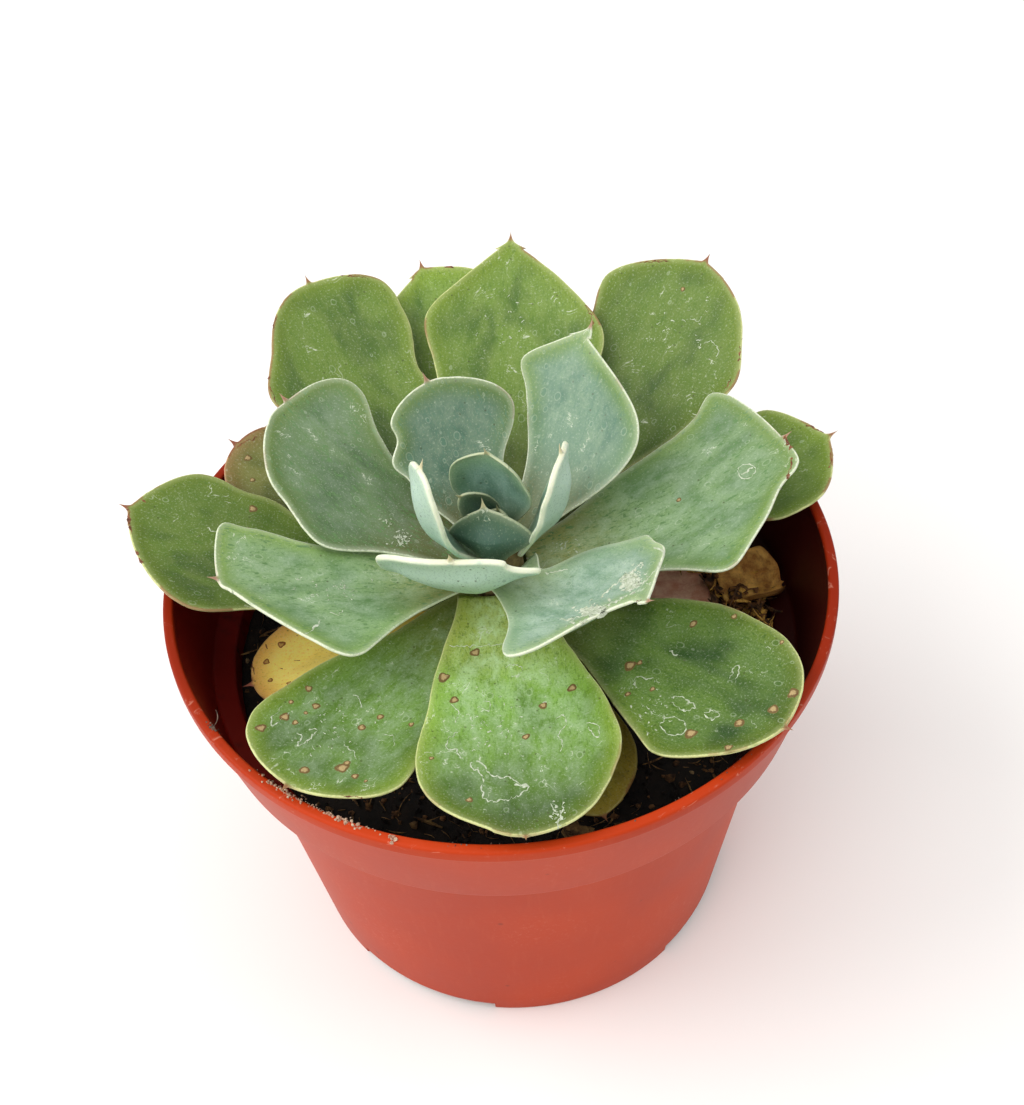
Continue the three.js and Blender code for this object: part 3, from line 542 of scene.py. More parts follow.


# Each leaf's brightness pair, foot and tip, is partly its own tone and partly painted light and painted shade
LEAVES = {
    "leaf_old_yellow": leaf("mustard", (1.7, 1.6), 191, 20, 65, (42.5, 63), sweep=2, curl=1, thick=2.4),
    "leaf_old_olive": leaf("olive", (1.5, 1.6), 286.5, 20, 63, (44.5, 67), taper=0.7),
    "leaf_outer_left": leaf(
        "outer", (0.55, 0.62), 173, 29, 70, (61, 82), sweep=-6, curl=4, neck=0.34, blunt=3.4, taper=0.9,
        thick=2.8,
        lobes=((1, 0.6, -2.5, 0.3), (1, 0.7, 5, 0.15), (-1, 0.5, -5.5, 0.1), (-1, 0.7, -4, 0.15)),
    ),
    "leaf_outer_left_back": leaf(
        "aged", (0.5, 0.72), 146, 24, 68, (52.5, 79.5), roll=-6, cup=10, curl=4, thick=2.8,
    ),
    "leaf_outer_back_left": leaf(
        "outer", (0.69, 0.74), 122, 29, 73.5, (60.5, 94.5), sweep=-3, widest=0.6, blunt=2.6, taper=0.48,
        lobes=((1, 0.6, -2, 0.3), (1, 0.7, 4, 0.1), (-1, 0.6, -4.5, 0.15), (-1, 0.95, 2.5, 0.1)),
    ),
    "leaf_outer_back_low": leaf(
        "outer", (1.0, 1.05), 97.5, 24, 70.5, (61, 90.5), sweep=2, blunt=3.3, taper=0.63,
        lobes=((1, 0.95, -3, 0.1), (-1, 0.9, 3.5, 0.1)),
    ),
    "leaf_outer_back": leaf(
        "outer", (0.72, 0.86), 84, 32.5, 76, (59.5, 95.8), widest=0.62, neck=0.34, blunt=1.7, taper=0.9,
        lobes=((1, 0.5, -4, 0.3), (1, 0.75, 2.5, 0.1), (-1, 0.6, -1.5, 0.3), (-1, 0.7, 2.5, 0.15)),
    ),
    "leaf_outer_back_right": leaf(
        "outer", (0.38, 0.74), 54.5, 29.5, 72.5, (64, 95), sweep=-3, neck=0.32, blunt=3.4, taper=0.79,
        lobes=((1, 0.6, -3, 0.3), (1, 0.85, 2.5, 0.1), (-1, 0.3, -3.5, 0.15), (-1, 0.7, 2.5, 0.1)),
    ),
    "leaf_outer_right": leaf(
        "outer", (0.8, 0.82), 18.5, 25.5, 70.5, (59.5, 81.3), blunt=2.4, taper=0.9, curl=3, thick=2.8,
        lobes=((1, 0.6, -4, 0.3), (1, 0.9, 4, 0.1), (-1, 0.6, -4.5, 0.1), (-1, 0.9, 2.5, 0.1)),
    ),
    "leaf_outer_front_right": leaf(
        "deep", (0.95, 0.5), 317, 24.5, 69, (55.5, 82), sweep=-3, neck=0.34, blunt=2.8, taper=0.54, curl=7,
        thick=2.8, roll=5,
        lobes=((1, 0.55, 3, 0.3), (1, 0.9, 1, 0.15), (-1, 0.3, -4, 0.3), (-1, 0.75, 2, 0.1)),
    ),
    "leaf_outer_front": leaf(
        "front", (2.4, 0.36), 271, 31, 74, (53.5, 80), neck=0.46, blunt=2, taper=0.4, spine=1,
        lobes=((1, 0.25, -1, 0.3), (1, 0.85, -1, 0.1), (-1, 0.5, -1.5, 0.2), (-1, 1, -2.5, 0.1)),
    ),
    "leaf_outer_front_left": leaf(
        "front", (1.25, 0.74), 229, 28, 72.5, (52.5, 79), sweep=3, neck=0.25, blunt=3.4, taper=0.51,
        lobes=((1, 0.6, -1, 0.3), (1, 0.85, 1, 0.1), (-1, 0.35, -2.5, 0.15), (-1, 0.6, -2, 0.2)),
    ),
    "leaf_middle_right": leaf(
        "middle", (1.2, 0.77), 4, 29, 75.5, (47.5, 89), sweep=8, neck=0.36, flare=1.9, blunt=6, taper=0.4,
        lobes=((1, 0.6, -2, 0.2), (1, 0.93, 3.4, 0.09), (-1, 0.6, 4.5, 0.1), (-1, 0.9, -5, 0.1)),
    ),
    "leaf_middle_left": leaf(
        "middle", (1.15, 0.95), 198, 25.5, 76.5, (43.5, 90.5), sweep=-2, neck=0.26, blunt=3.2, taper=0.4,
        lobes=((1, 0.6, 5, 0.15), (1, 0.95, -5, 0.2), (-1, 0.55, -4.5, 0.25), (-1, 0.96, 3, 0.07)),
    ),
    "leaf_middle_back_left": leaf(
        "middle", (0.5, 0.65), 147, 30, 77.5, (41, 92.5), sweep=-3, neck=0.39, blunt=3.3, taper=0.4,
        lobes=((1, 0.45, 3.5, 0.15), (1, 0.95, -3, 0.15), (-1, 0.4, -6, 0.25), (-1, 0.65, -5, 0.25)),
    ),
    "leaf_middle_front_right": leaf(
        "icy", (1.35, 0.92), 302, 22.5, 78.5, (32, 93.8), sweep=4.2, roll=10, neck=0.45, blunt=1.3,
        taper=0.9,
        lobes=(
            (1, 0.15, -3.5, 0.1), (1, 0.72, 2.5, 0.2), (1, 0.87, 3.4, 0.09), (-1, 0.55, 5, 0.15),
            (-1, 0.85, -5, 0.15),
        ),
    ),
    "leaf_middle_back_right": leaf(
        "wet", (0.7, 0.95), 52, 20.5, 78.5, (32, 101.2), sweep=3, widest=0.56, neck=0.32, blunt=2.1,
        taper=0.81, lobes=((1, 0.4, -5, 0.3), (1, 0.8, 3, 0.1), (-1, 0.55, 4, 0.3), (-1, 0.95, -3.5, 0.2)),
    ),
    "leaf_middle_back": leaf(
        "wet", (0.56, 0.7), 106, 24, 79, (23.5, 97), base_radius=4.4, sweep=3, neck=0.33, blunt=1.6,
        taper=0.46,
        lobes=((1, 0.5, -1.5, 0.1), (1, 0.75, -2.5, 0.1), (-1, 0.4, -3.5, 0.2), (-1, 1, -1.5, 0.15)),
    ),
    "leaf_inner_front": leaf(
        "inner", (1.65, 1.65), 241, 25.5, 79.5, (15.4, 93.4), margin=1.0, waves=0.5, base_radius=4.4,
        sweep=0.5, curl=18, cup=9, widest=0.73, blunt=3.4, roll=16, lobes=((1, 0.86, -4, 0.1),),
    ),
    "leaf_inner_left": leaf(
        "inner", (1, 1), 204, 10.5, 81, (11.2, 103.5), margin=0.9, waves=0.4, base_radius=3.8, curl=28,
        cup=12, thick=2.4,
    ),
    "leaf_inner_right": leaf(
        "inner", (1, 1), 347, 12, 81, (10.4, 102.5), margin=0.9, waves=0.4, base_radius=3.8, curl=12,
        cup=16, roll=-4, blunt=3,
    ),
    "leaf_inner_back": leaf(
        "bud", (1.05, 1.05), 78, 15, 82, (3.8, 97), base_radius=3.6, sweep=1.5, curl=12, cup=30, roll=-12,
        widest=0.57, blunt=3.5, taper=0.66, thick=2.6, lobes=((-1, 0.8, -2, 0.3),),
    ),
    "leaf_bud_front": leaf(
        "bud", (0.5, 0.5), 254, 14, 82, (2.7, 92), base_radius=3.8, sweep=-1, curl=7, cup=23, widest=0.42,
        blunt=1.6, taper=0.95, thick=2.2,
    ),
    "leaf_bud_left": leaf(
        "bud", (0.5, 0.55), 112, 6, 82.4, (2.5, 91.5), base_radius=2.4, sweep=4.5, cup=30, widest=0.43,
        blunt=2.5, thick=2, spine=1.4,
    ),
    "leaf_bud_back": leaf("bud", (0.45, 0.5), 60, 4, 83, (0.9, 87.8), base_radius=1.4, cup=30, thick=1.8),
}

# Papery looks: dark, light and vein tone, how crumpled the leaf is, and its slot
DRY_LOOKS = {
    "dry_pink": (("#de9678", "#ffd0b0", "#e8a888"), 0.45, "leaf_dry_pink"),
    "dry_gold": (("#a5682a", "#ffc86a", "#c98a34"), 1.1, "leaf_dry_gold"),
}
DRY_LEAVES = {
    "leaf_dry_felted": leaf(
        "dry_pink", None, 12, 21, 62, (36, 59.6), base_radius=9, curl=4, cup=10, neck=0.7, blunt=5,
        thick=1.1, margin=0.9, spine=0.3, waves=0.9,
    ),
    "leaf_dry_low": leaf(
        "dry_pink", None, 52, 14, 65, (36, 62.5), base_radius=7, curl=4, thick=1.2, margin=0.9, spine=0.6,
        waves=0.9,
    ),
    "leaf_dry_curled": leaf(
        "dry_gold", None, 6, 12, 60.6, (48, 61.4), base_radius=37.6, curl=-10, cup=75, neck=0.6, blunt=3,
        thick=1.1, margin=0.9, spine=0.5, waves=1.8,
    ),
}


def bezier(controls, t):
    a, b, c, d = controls
    return (1 - t) ** 3 * a + 3 * (1 - t) ** 2 * t * b + 3 * (1 - t) * t * t * c + t ** 3 * d


class Blade:
    """A leaf's midline and outline, worked out at any distance from its base in mm."""

    def __init__(self, settings):
        self.set = settings
        radius, height = settings["tip"]
        start = (settings["base_radius"], settings["base_height"])
        run, climb = radius - start[0], height - start[1]
        reach = math.hypot(run, climb) / 3
        chord = math.atan2(climb, run)
        curl = math.radians(settings["curl"])
        leaving = on_circle(reach, chord - curl)
        arriving = on_circle(reach, chord + curl)
        sweep = settings["sweep"]
        self.controls = np.array([
            self.place(*start, 0),
            self.place(start[0] + leaving[0], start[1] + leaving[1], 0),
            self.place(radius - arriving[0], height - arriving[1], sweep * SWEEP_SHARE),
            self.place(radius, height, sweep),
        ])
        steps = bezier(self.controls, np.linspace(0, 1, 200)[:, None])
        self.length = float(np.linalg.norm(np.diff(steps, axis=0), axis=1).sum())
        self.total = self.length + settings["spine"]

    def place(self, radius, height, across):
        turn = math.radians(self.set["azimuth"])
        x = radius * math.cos(turn) - across * math.sin(turn)
        y = radius * math.sin(turn) + across * math.cos(turn)
        return (x, y, height)

    def centre(self, share):
        """Points of the midline; past share 1 it runs on straight, along the spine."""
        curve = bezier(self.controls, np.clip(share, 0, 1)[:, None])
        end = self.controls[3] - self.controls[2]
        past = np.maximum(share - 1, 0)[:, None] * self.length
        return curve + end / np.linalg.norm(end) * past

    def axes(self, share):
        """Along, sideways and upwards directions at each share."""
        step = 1e-3
        low, high = np.clip(share - step, 0, 1), np.clip(share + step, 0, 1)
        spread = np.where((high - low) < step * 0.5, step, 0)
        along = self.centre(high) - self.centre(np.maximum(low - spread, 0))
        along /= np.linalg.norm(along, axis=1)[:, None]
        turn = math.radians(self.set["azimuth"])
        normal = np.cross(along, np.array([-math.sin(turn), math.cos(turn), 0]))
        normal /= np.linalg.norm(normal, axis=1)[:, None]
        side = np.cross(normal, along)
        roll = math.radians(self.set["roll"])
        rolled_side = side * math.cos(roll) + np.cross(along, side) * math.sin(roll)
        rolled_normal = normal * math.cos(roll) + np.cross(along, normal) * math.sin(roll)
        return rolled_side, rolled_normal

    def half_width(self, distance, side, seed):
        """Half the blade's width, with its bumps, fine waves and the flare into the spine."""
        form = self.set
        full = form["width"] / 2
        share = distance / self.length
        widest = form["widest"]
        rise = np.sin(np.pi / 2 * np.clip(share / widest, 0, 1)) ** form["flare"]
        neck = form["neck"] + (1 - form["neck"]) * rise
        past = np.clip((share - widest) / (1 - widest), 0, 1)
        close = (1 - past ** form["blunt"]) ** form["taper"]
        blade = full * np.where(share < widest, neck, close)
        clear = np.sqrt(np.clip((1 - share) / LOBE_CLEAR, 0, 1))
        for lobe_side, at, out, spread in form["lobes"]:
            if lobe_side == side:
                blade = blade + out * np.exp(-((share - at) / spread) ** 2) * clear
        # No fresh swelling just before the point
        late = share > POINT_START
        blade = np.where(late, np.minimum.accumulate(np.where(late, blade, np.inf)), blade)
        wave = np.array([noise.noise(Vector((d / 7, side * 9.0, seed))) for d in distance])
        fine = np.array([noise.noise(Vector((d / 2.2, side * 5.0, seed + 3))) for d in distance])
        ripple = form["waves"] * (wave + 0.35 * fine) * smoothstep(share * 3)
        blade = np.where(blade > 1.5, blade + ripple, np.maximum(blade, 0))
        foot = min(TIP_REACH, form["spine"] * 1.9)
        reach = np.clip((distance - (self.total - foot)) / foot, 0, 1)
        room = max(0, float(np.interp(self.total - foot, distance, blade)))
        spine = POINT_WIDTH * (1 - reach) + min(POINT_FLARE, full / 4, room) * (1 - reach) ** 3.2
        spine = np.where(distance > self.total - foot, spine, 0)
        return (np.maximum(blade, 0) ** 4 + spine ** 4) ** 0.25


def even_distances(blade, seed, count):
    """Distances along a blade, spaced evenly along its outline."""
    fine = np.linspace(0, blade.total, 1600)
    width = (blade.half_width(fine, 1, seed) + blade.half_width(fine, -1, seed)) / 2
    steps = np.hypot(np.diff(fine), np.diff(width))
    steps = steps * np.where(fine[1:] > blade.total - TIP_REACH, 3, 1)
    travelled = np.concatenate([[0], np.cumsum(steps)])
    return np.interp(np.linspace(0, travelled[-1], count), travelled, fine)


def edge_distances(points, outline):
    """Shortest distance from each flat point to a run of outline points."""
    start, run = outline[:-1], np.diff(outline, axis=0)
    size = np.maximum((run ** 2).sum(1), 1e-9)
    best = np.full(len(points), 1e9)
    for a, r, s in zip(start, run, size):
        t = np.clip(((points - a) @ r) / s, 0, 1)
        best = np.minimum(best, ((points - a - t[:, None] * r) ** 2).sum(1))
    return np.sqrt(best)


def mesh_object(name, points, faces, material=None, smooth=True):
    """An object from points in mm."""
    mesh = bpy.data.meshes.new(name)
    mesh.from_pydata([tuple(p) for p in np.asarray(points) * MM], [], faces)
    mesh.update()
    if smooth:
        mesh.shade_smooth()
    if material:
        mesh.materials.append(material)
    piece = bpy.data.objects.new(name, mesh)
    bpy.context.scene.collection.objects.link(piece)
    return piece


def add_values(piece, name, values):
    """One value or vector for each point of a mesh, for its material to read."""
    values = np.asarray(values, float)
    kind, key = ("FLOAT", "value") if values.ndim == 1 else ("FLOAT_VECTOR", "vector")
    attribute = piece.data.attributes.new(name, kind, "POINT")
    attribute.data.foreach_set(key, values.astype(np.float32).ravel())


def blade_noise(flat, seed):
    """Two sets of noise over the blade: broad and small bumps, and the waving of its edge."""
    bumps, frill = np.zeros(flat.shape[:2]), np.zeros(flat.shape[:2])
    for at in np.ndindex(bumps.shape):
        x, y = flat[at]
        small = noise.noise(Vector((x / 3, y / 3, seed + 5)))
        bumps[at] = noise.noise(Vector((x / 8, y / 8, seed))) + 0.4 * small
        frill[at] = noise.noise(Vector((x / 5.5, y / 9, seed + 11)))
    return bumps, frill


def skin_faces(rings, across):
    """Faces of a closed skin: two grids of rings that share their outer points, and two ends."""
    def upper(i, j):
        return i * across + j

    def lower(i, j):
        return upper(i, j) if j in (0, across - 1) else rings * across + i * (across - 2) + j - 1

    faces = []
    for i in range(rings - 1):
        for j in range(across - 1):
            faces.append([upper(i, j), upper(i + 1, j), upper(i + 1, j + 1), upper(i, j + 1)])
            faces.append([lower(i, j), lower(i, j + 1), lower(i + 1, j + 1), lower(i + 1, j)])
    for i, turn in ((0, 1), (rings - 1, -1)):
        loop = [upper(i, j) for j in range(across)]
        loop += [lower(i, j) for j in range(across - 2, 0, -1)]
        faces.append(loop[::turn])
    return faces


def blade_object(name, settings, material, seed, relief=LEAF_RELIEF, crumple=0.0):
    """A leaf as one closed skin: its upper face, its lower face and a rounded edge."""
    blade = Blade(settings)
    distance = even_distances(blade, seed, RINGS)
    share = distance / blade.length
    side, normal = blade.axes(share)
    left = blade.half_width(distance, 1, seed)
    right = blade.half_width(distance, -1, seed)
    s = np.linspace(-1, 1, ACROSS)
    v = np.sign(s) * (1 - (1 - np.abs(s)) ** 1.7)
    reach = np.where(v[None, :] >= 0, left[:, None], right[:, None])
    half = reach.copy()
    half[:, ACROSS // 2] = 0
    flat = np.stack([np.repeat(distance[:, None], ACROSS, 1), half * v[None, :]], -1)
    outline = np.concatenate([
        np.stack([distance, left], 1), np.stack([distance, -right], 1)[::-1],
    ])
    edge = edge_distances(flat.reshape(-1, 2), outline).reshape(RINGS, ACROSS)
    edge[:, 0] = edge[:, -1] = edge[-1, :] = 0

    # The cup, the thickness and the rounded margin
    arc = math.radians(settings["cup"])
    sideways = reach * np.sin(v * arc)[None, :] / arc
    lift = reach * (1 - np.cos(v * arc))[None, :] / arc
    widest_here = np.maximum(left, right)[:, None]
    margin = settings["margin"] * np.clip(widest_here / 0.9, 0.05, 1) ** 0.8
    middle = settings["thick"] * (1 - TIP_THINNING * np.clip(share, 0, 1) ** 3)[:, None]
    fullness = smoothstep(edge.max(1) / 5)[:, None] * smoothstep(edge / 6)
    depth = margin + (np.maximum(middle, margin) - margin) * (1 - v ** 2)[None, :] * fullness
    radius = margin / 2
    near = np.clip(1 - edge / radius, 0, 1)
    rounding = radius * (1 - np.sqrt(np.maximum(0, 1 - near ** 2)))

    # Bumps, a soft ridge inside the edge, and the waving of the edge
    place = blade.centre(share)[:, None, :] + side[:, None, :] * sideways[..., None]
    bumps, frill = blade_noise(flat, seed)
    soft_edge = RIDGE * np.exp(-((edge - 1.0) / 0.7) ** 2)
    inside = smoothstep(edge / 2)
    at_edge = (1 - smoothstep(edge / 5)) * smoothstep(share * 3)[:, None]
    shift = settings["waves"] * 1.2 * frill * at_edge + crumple * bumps
    upper = lift - rounding + relief * bumps * inside + soft_edge * smoothstep(fullness * 4) + shift
    lower = lift - depth + rounding - 0.5 * relief * bumps * inside + shift
    top = place + normal[:, None, :] * upper[..., None]
    bottom = place + normal[:, None, :] * lower[..., None]
    points = np.concatenate([top.reshape(-1, 3), bottom[:, 1:-1].reshape(-1, 3)])
    piece = mesh_object(name, points, skin_faces(RINGS, ACROSS), material)

    # What the material reads at each point; the underside has its own stretch of the flat place
    below = flat[:, 1:-1] + np.array([0, UNDERSIDE_SHIFT])
    both = np.concatenate([flat.reshape(-1, 2), below.reshape(-1, 2)])
    add_values(piece, "flat", np.pad(both, ((0, 0), (0, 1))))
    whole = np.ones((1, ACROSS))
    point = smoothstep((distance - blade.length + 0.4) / 0.9)[:, None]
    values = (("edge", edge), ("along", share[:, None] * whole), ("under", None), ("point", point * whole))
    for label, grid in values:
        upper_grid = np.zeros((RINGS, ACROSS)) if grid is None else grid
        lower_grid = upper_grid[:, 1:-1] + (1 if grid is None else 0)
        add_values(piece, label, np.concatenate([upper_grid.ravel(), lower_grid.ravel()]))
    return piece


def make_leaves():
    made = {}
    for seed, (name, settings) in enumerate(LEAVES.items(), start=1):
        look = LOOKS[settings["look"]]
        material = leaf_material(name + "_skin", look, seed, settings["tone"])
        piece = blade_object(name + "_blade", settings, material, seed)
        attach(piece, "root")
        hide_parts(name)
        made[name] = piece
    return made


def make_dry_leaves():
    materials = {kind: dry_leaf_material(kind, *tones) for kind, (tones, _, _) in DRY_LOOKS.items()}
    for seed, (name, settings) in enumerate(DRY_LEAVES.items(), start=40):
        kind = settings["look"]
        _, crumple, slot = DRY_LOOKS[kind]
        piece = blade_object(name + "_blade", settings, materials[kind], seed, DRY_RELIEF, crumple)
        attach(piece, "root")
        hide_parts(name)


# Scars: places in the photograph's frame, and widths in mm
SCARS = {
    "leaf_outer_front_right": (
        (693, 624, 1.7), (734, 616, 1.2), (631, 665, 2.4), (628, 694, 1.3), (653, 689, 1.1),
        (739, 723, 1.8), (692, 733, 2.2), (729, 747, 1.5), (792, 693, 2.0), (773, 709, 1.8),
        (782, 642, 0.9), (640, 663, 1.2),
    ),
    "leaf_outer_front_left": (
        (261, 729, 2.0), (285.5, 717.5, 1.7), (296, 722.5, 1.2), (315.5, 706.5, 1.4), (291, 702, 1.0),
        (309, 688, 1.3), (304, 770, 1.8), (342, 769, 2.3), (347, 763, 1.3), (355, 776.5, 1.3),
        (362, 727.5, 1.5), (380, 717, 1.4), (411.5, 724, 1.1), (306, 713, 0.8), (366, 781, 0.8),
    ),
    "leaf_outer_front": (
        (445, 676.5, 2.3), (475.5, 653, 2.0), (455, 700, 1.7), (543, 705, 1.6), (572.5, 688, 1.8),
        (469, 799.5, 1.3), (431, 758.5, 0.9), (526, 737, 1.5),
    ),
    "leaf_outer_left": ((252, 509, 1.6), (246, 530.5, 1.3)),
    "leaf_old_yellow": (
        (281, 645, 1.5), (267, 662, 1.2), (270, 680, 1.0), (302.5, 628, 1.2), (289, 683, 1.0),
    ),
    "leaf_middle_right": ((679, 500, 1.0),),
    "leaf_outer_back_right": ((683, 289, 1.0),),
    "leaf_outer_left_back": ((247, 458, 1.6), (252, 480, 1.1)),
}

# Dried water and white scars: width in mm, and a line through places in the photograph's frame
CHALK = {
    "leaf_outer_front": (
        (0.5, ((472, 762), (471, 768), (480, 772), (484, 780), (482, 790), (485, 800), (492, 802),
            (500, 800), (512, 799), (522, 794), (529, 788), (528, 783), (520, 786), (516, 782),
            (510, 776), (500, 778), (492, 776), (487, 770), (482, 764), (476, 760))),
        (0.9, ((516, 784), (523, 788), (528, 786))),
        (0.35, ((556, 720), (560, 714), (566, 716), (568, 724), (560, 730), (558, 736), (564, 744),
            (560, 752))),
        (0.4, ((586, 722), (594, 723), (600, 728), (598, 738), (590, 732), (587, 726))),
        (0.25, ((450, 646), (460, 647), (480, 646), (495, 645), (506, 643))),
        (0.35, ((458, 732), (448, 738), (446, 752), (456, 748), (461, 757))),
        (0.3, ((484, 700), (492, 704), (488, 712), (482, 708))),
        (0.5, ((550, 803), (553, 809), (556, 812))),
        (0.6, ((564, 803), (562, 812), (559, 824), (556, 832))),
        (0.3, ((506, 668), (514, 664), (524, 668), (521, 676), (511, 676))),
        (0.3, ((450, 704), (460, 712), (455, 722))),
    ),
    "leaf_outer_front_right": (
        (0.4, ((664, 720), (672, 716), (684, 720), (686, 732), (676, 736), (664, 732), (660, 726),
            (664, 720))),
        (0.4, ((672, 698), (680, 696), (692, 702), (696, 708), (688, 711), (678, 708), (672, 702))),
        (0.35, ((730, 680), (734, 666), (740, 666), (739, 674), (734, 682))),
        (0.4, ((636, 688), (632, 680), (640, 676), (648, 680), (654, 676), (656, 684))),
        (0.8, ((671, 650), (674, 655), (679, 656))),
        (0.4, ((704, 714), (711, 710), (720, 714), (716, 719), (708, 718), (704, 714))),
    ),
    "leaf_outer_front_left": (
        (0.4, ((298, 732), (303, 737), (295, 747), (303, 745), (313, 737), (318, 730), (308, 729))),
        (0.35, ((282, 707), (272, 717), (270, 727), (280, 722), (290, 712))),
        (0.3, ((353, 694), (361, 699), (361, 707))), (0.3, ((384, 735), (394, 735), (394, 747))),
        (0.3, ((343, 745), (353, 750), (358, 760))),
    ),
    "leaf_middle_left": (
        (0.7, ((304, 634), (310, 632), (317, 627), (320, 620))),
        (0.3, ((330, 612), (338, 616), (344, 610))),
    ),
    "leaf_middle_right": (
        (0.35, ((738, 470), (743, 464), (752, 463), (757, 470), (750, 478), (741, 478), (738, 470))),
        (0.6, ((742, 474), (748, 470), (753, 467))),
    ),
    "leaf_middle_front_right": (
        (1.0, ((602, 598), (610, 588), (621, 582), (634, 571), (642, 561))),
        (2.2, ((584, 616), (592, 612), (600, 610), (605, 606))),
        (1.3, ((583, 611), (594, 608), (605, 606), (618, 601), (628, 594))),
        (2.0, ((624, 588), (630, 581), (636, 576))), (0.6, ((545, 574), (556, 571), (570, 569))),
        (0.5, ((560, 620), (575, 618), (590, 614))),
        (0.6, ((636, 588), (646, 582), (655, 572), (660, 562))),
        (0.8, ((654, 548), (661, 550), (665, 556))),
    ),
    "leaf_outer_left": ((0.3, ((208, 528), (213, 532), (219, 531), (222, 525))),),
    "leaf_bud_front": (
        (0.5, ((481, 510), (483, 514))), (0.5, ((486, 508), (488, 513))), (0.4, ((478, 517), (480, 520))),
        (0.4, ((489, 517), (491, 521))), (0.4, ((483, 520), (485, 522))),
    ),
    "leaf_outer_back_right": (
        (0.3, ((704, 344), (712, 340), (720, 350), (716, 358))),
        (0.25, ((690, 318), (698, 322), (702, 316))),
    ),
}

# Brown, corky bits on the leaf edges, given in the same way
CORK = {
    "leaf_outer_back_right": (
        (0.7, ((739, 294), (742, 304), (741, 314))), (0.9, ((744, 322), (744, 332), (742, 340))),
        (0.5, ((741, 346), (741, 354), (738, 362))), (0.35, ((640, 262), (655, 261), (672, 263))),
        (0.5, ((731, 380), (724, 390))),
    ),
    "leaf_outer_back": (
        (0.6, ((549, 267), (556, 273), (561, 278))), (0.35, ((585, 305), (592, 318), (594, 330))),
    ),
    "leaf_outer_back_low": (
        (0.4, ((425, 266), (440, 266), (455, 268))), (0.4, ((404, 286), (409, 277), (416, 270))),
    ),
    "leaf_outer_back_left": (
        (0.45, ((277, 318), (271, 330), (268, 345))), (0.6, ((267, 352), (267, 366), (269, 380))),
        (0.45, ((270, 386), (274, 398), (277, 404))), (0.3, ((312, 274), (340, 274), (370, 279))),
    ),
    "leaf_outer_left": (
        (0.9, ((136, 551), (139, 558), (142, 563))), (0.6, ((129, 512), (129, 522), (131, 532))),
        (0.6, ((123, 510), (127, 511))), (0.8, ((143, 500), (146, 503))),
    ),
    "leaf_outer_left_back": ((0.45, ((236, 447), (246, 441), (257, 437))),),
    "leaf_middle_right": (
        (1.3, ((784, 437), (788, 442), (792, 450))), (0.8, ((793, 458), (790, 468), (786, 480))),
        (0.6, ((783, 490), (779, 500), (774, 510))),
    ),
    "leaf_outer_right": (
        (0.4, ((832, 440), (832, 455), (829, 470))), (0.5, ((806, 425), (818, 430), (829, 434))),
    ),
    "leaf_outer_front_right": (
        (0.5, ((776, 612), (788, 624), (797, 638))), (0.7, ((797, 690), (795, 698))),
    ),
    "leaf_middle_front_right": ((0.6, ((641, 600), (636, 603), (630, 605))),),
    "leaf_outer_front_left": ((0.4, ((342, 796), (352, 797), (362, 797))),),
    "leaf_old_yellow": (
        (0.6, ((252, 662), (253, 668), (255, 674))), (0.5, ((264, 628), (272, 622), (282, 620))),
        (0.4, ((266, 645), (268, 649))), (0.5, ((280, 668), (284, 670))), (0.4, ((295, 660), (299, 661))),
    ),
}

# Patches of dried crust: leaf, place, spread in pixels, count and width in mm
CRUSTS = (
    ("leaf_middle_front_right", (630, 582), (8, 8), 90, 1.8),
    ("leaf_middle_front_right", (592, 611), (12, 3), 90, 1.6),
    ("leaf_middle_front_right", (574, 622), (9, 4), 16, 0.9),
    ("leaf_middle_back_left", (401, 539), (11, 8), 46, 0.4),
    ("leaf_middle_back_left", (386, 522), (7, 6), 10, 0.3),
    ("leaf_middle_right", (565, 546), (16, 7), 18, 0.3),
    ("leaf_outer_front", (558, 814), (8, 10), 26, 0.5),
    ("leaf_middle_front_right", (640, 575), (14, 12), 26, 0.5),
    ("leaf_middle_front_right", (600, 606), (18, 6), 18, 0.5),
    ("leaf_outer_front_right", (655, 706), (20, 26), 26, 0.3),
    ("leaf_outer_front", (500, 720), (34, 44), 40, 0.28),
    ("leaf_outer_front_left", (330, 730), (34, 26), 34, 0.26),
    ("leaf_middle_left", (330, 590), (46, 14), 30, 0.24),
    ("leaf_outer_back", (500, 320), (34, 34), 24, 0.24),
    ("leaf_outer_back_right", (690, 320), (30, 34), 22, 0.24),
)

def surface_tree(piece):
    mesh = piece.data
    points = [v.co.copy() for v in mesh.vertices]
    return BVHTree.FromPolygons(points, [tuple(p.vertices) for p in mesh.polygons])


def scab(tree, hit, normal, width, draw):
    """Points and shares of the way out of one thin scab that follows the leaf under it."""
    side = normal.orthogonal().normalized()
    ahead = normal.cross(side)
    turns = [i * FULL_TURN / SCAR_SIDES for i in range(SCAR_SIDES)]
    phase, lean = draw.uniform(0, 6.3), draw.uniform(0.05, 0.32)
    wobble = [
        1.05 + lean * math.sin(turn + phase) + 0.6 * lean * math.sin(3 * turn + 2 * phase)
        + draw.uniform(-0.07, 0.07) for turn in turns
    ]
    stretch = draw.uniform(0.75, 1.0)
    points, reach = [], []
    for ring in range(SCAR_RINGS + 1):
        share = ring / SCAR_RINGS
        for turn, swell in list(zip(turns, wobble))[:None if ring else 1]:
            x, y = on_circle(share * width / 2 * MM * swell, turn)
            near, near_normal, _, _ = tree.find_nearest(hit + x * side + stretch * y * ahead)
            height = SCAR_HEIGHT * (1 - share ** 2) - SUNK
            points.append(near / MM + near_normal * height)
            reach.append(share)
    return points, reach


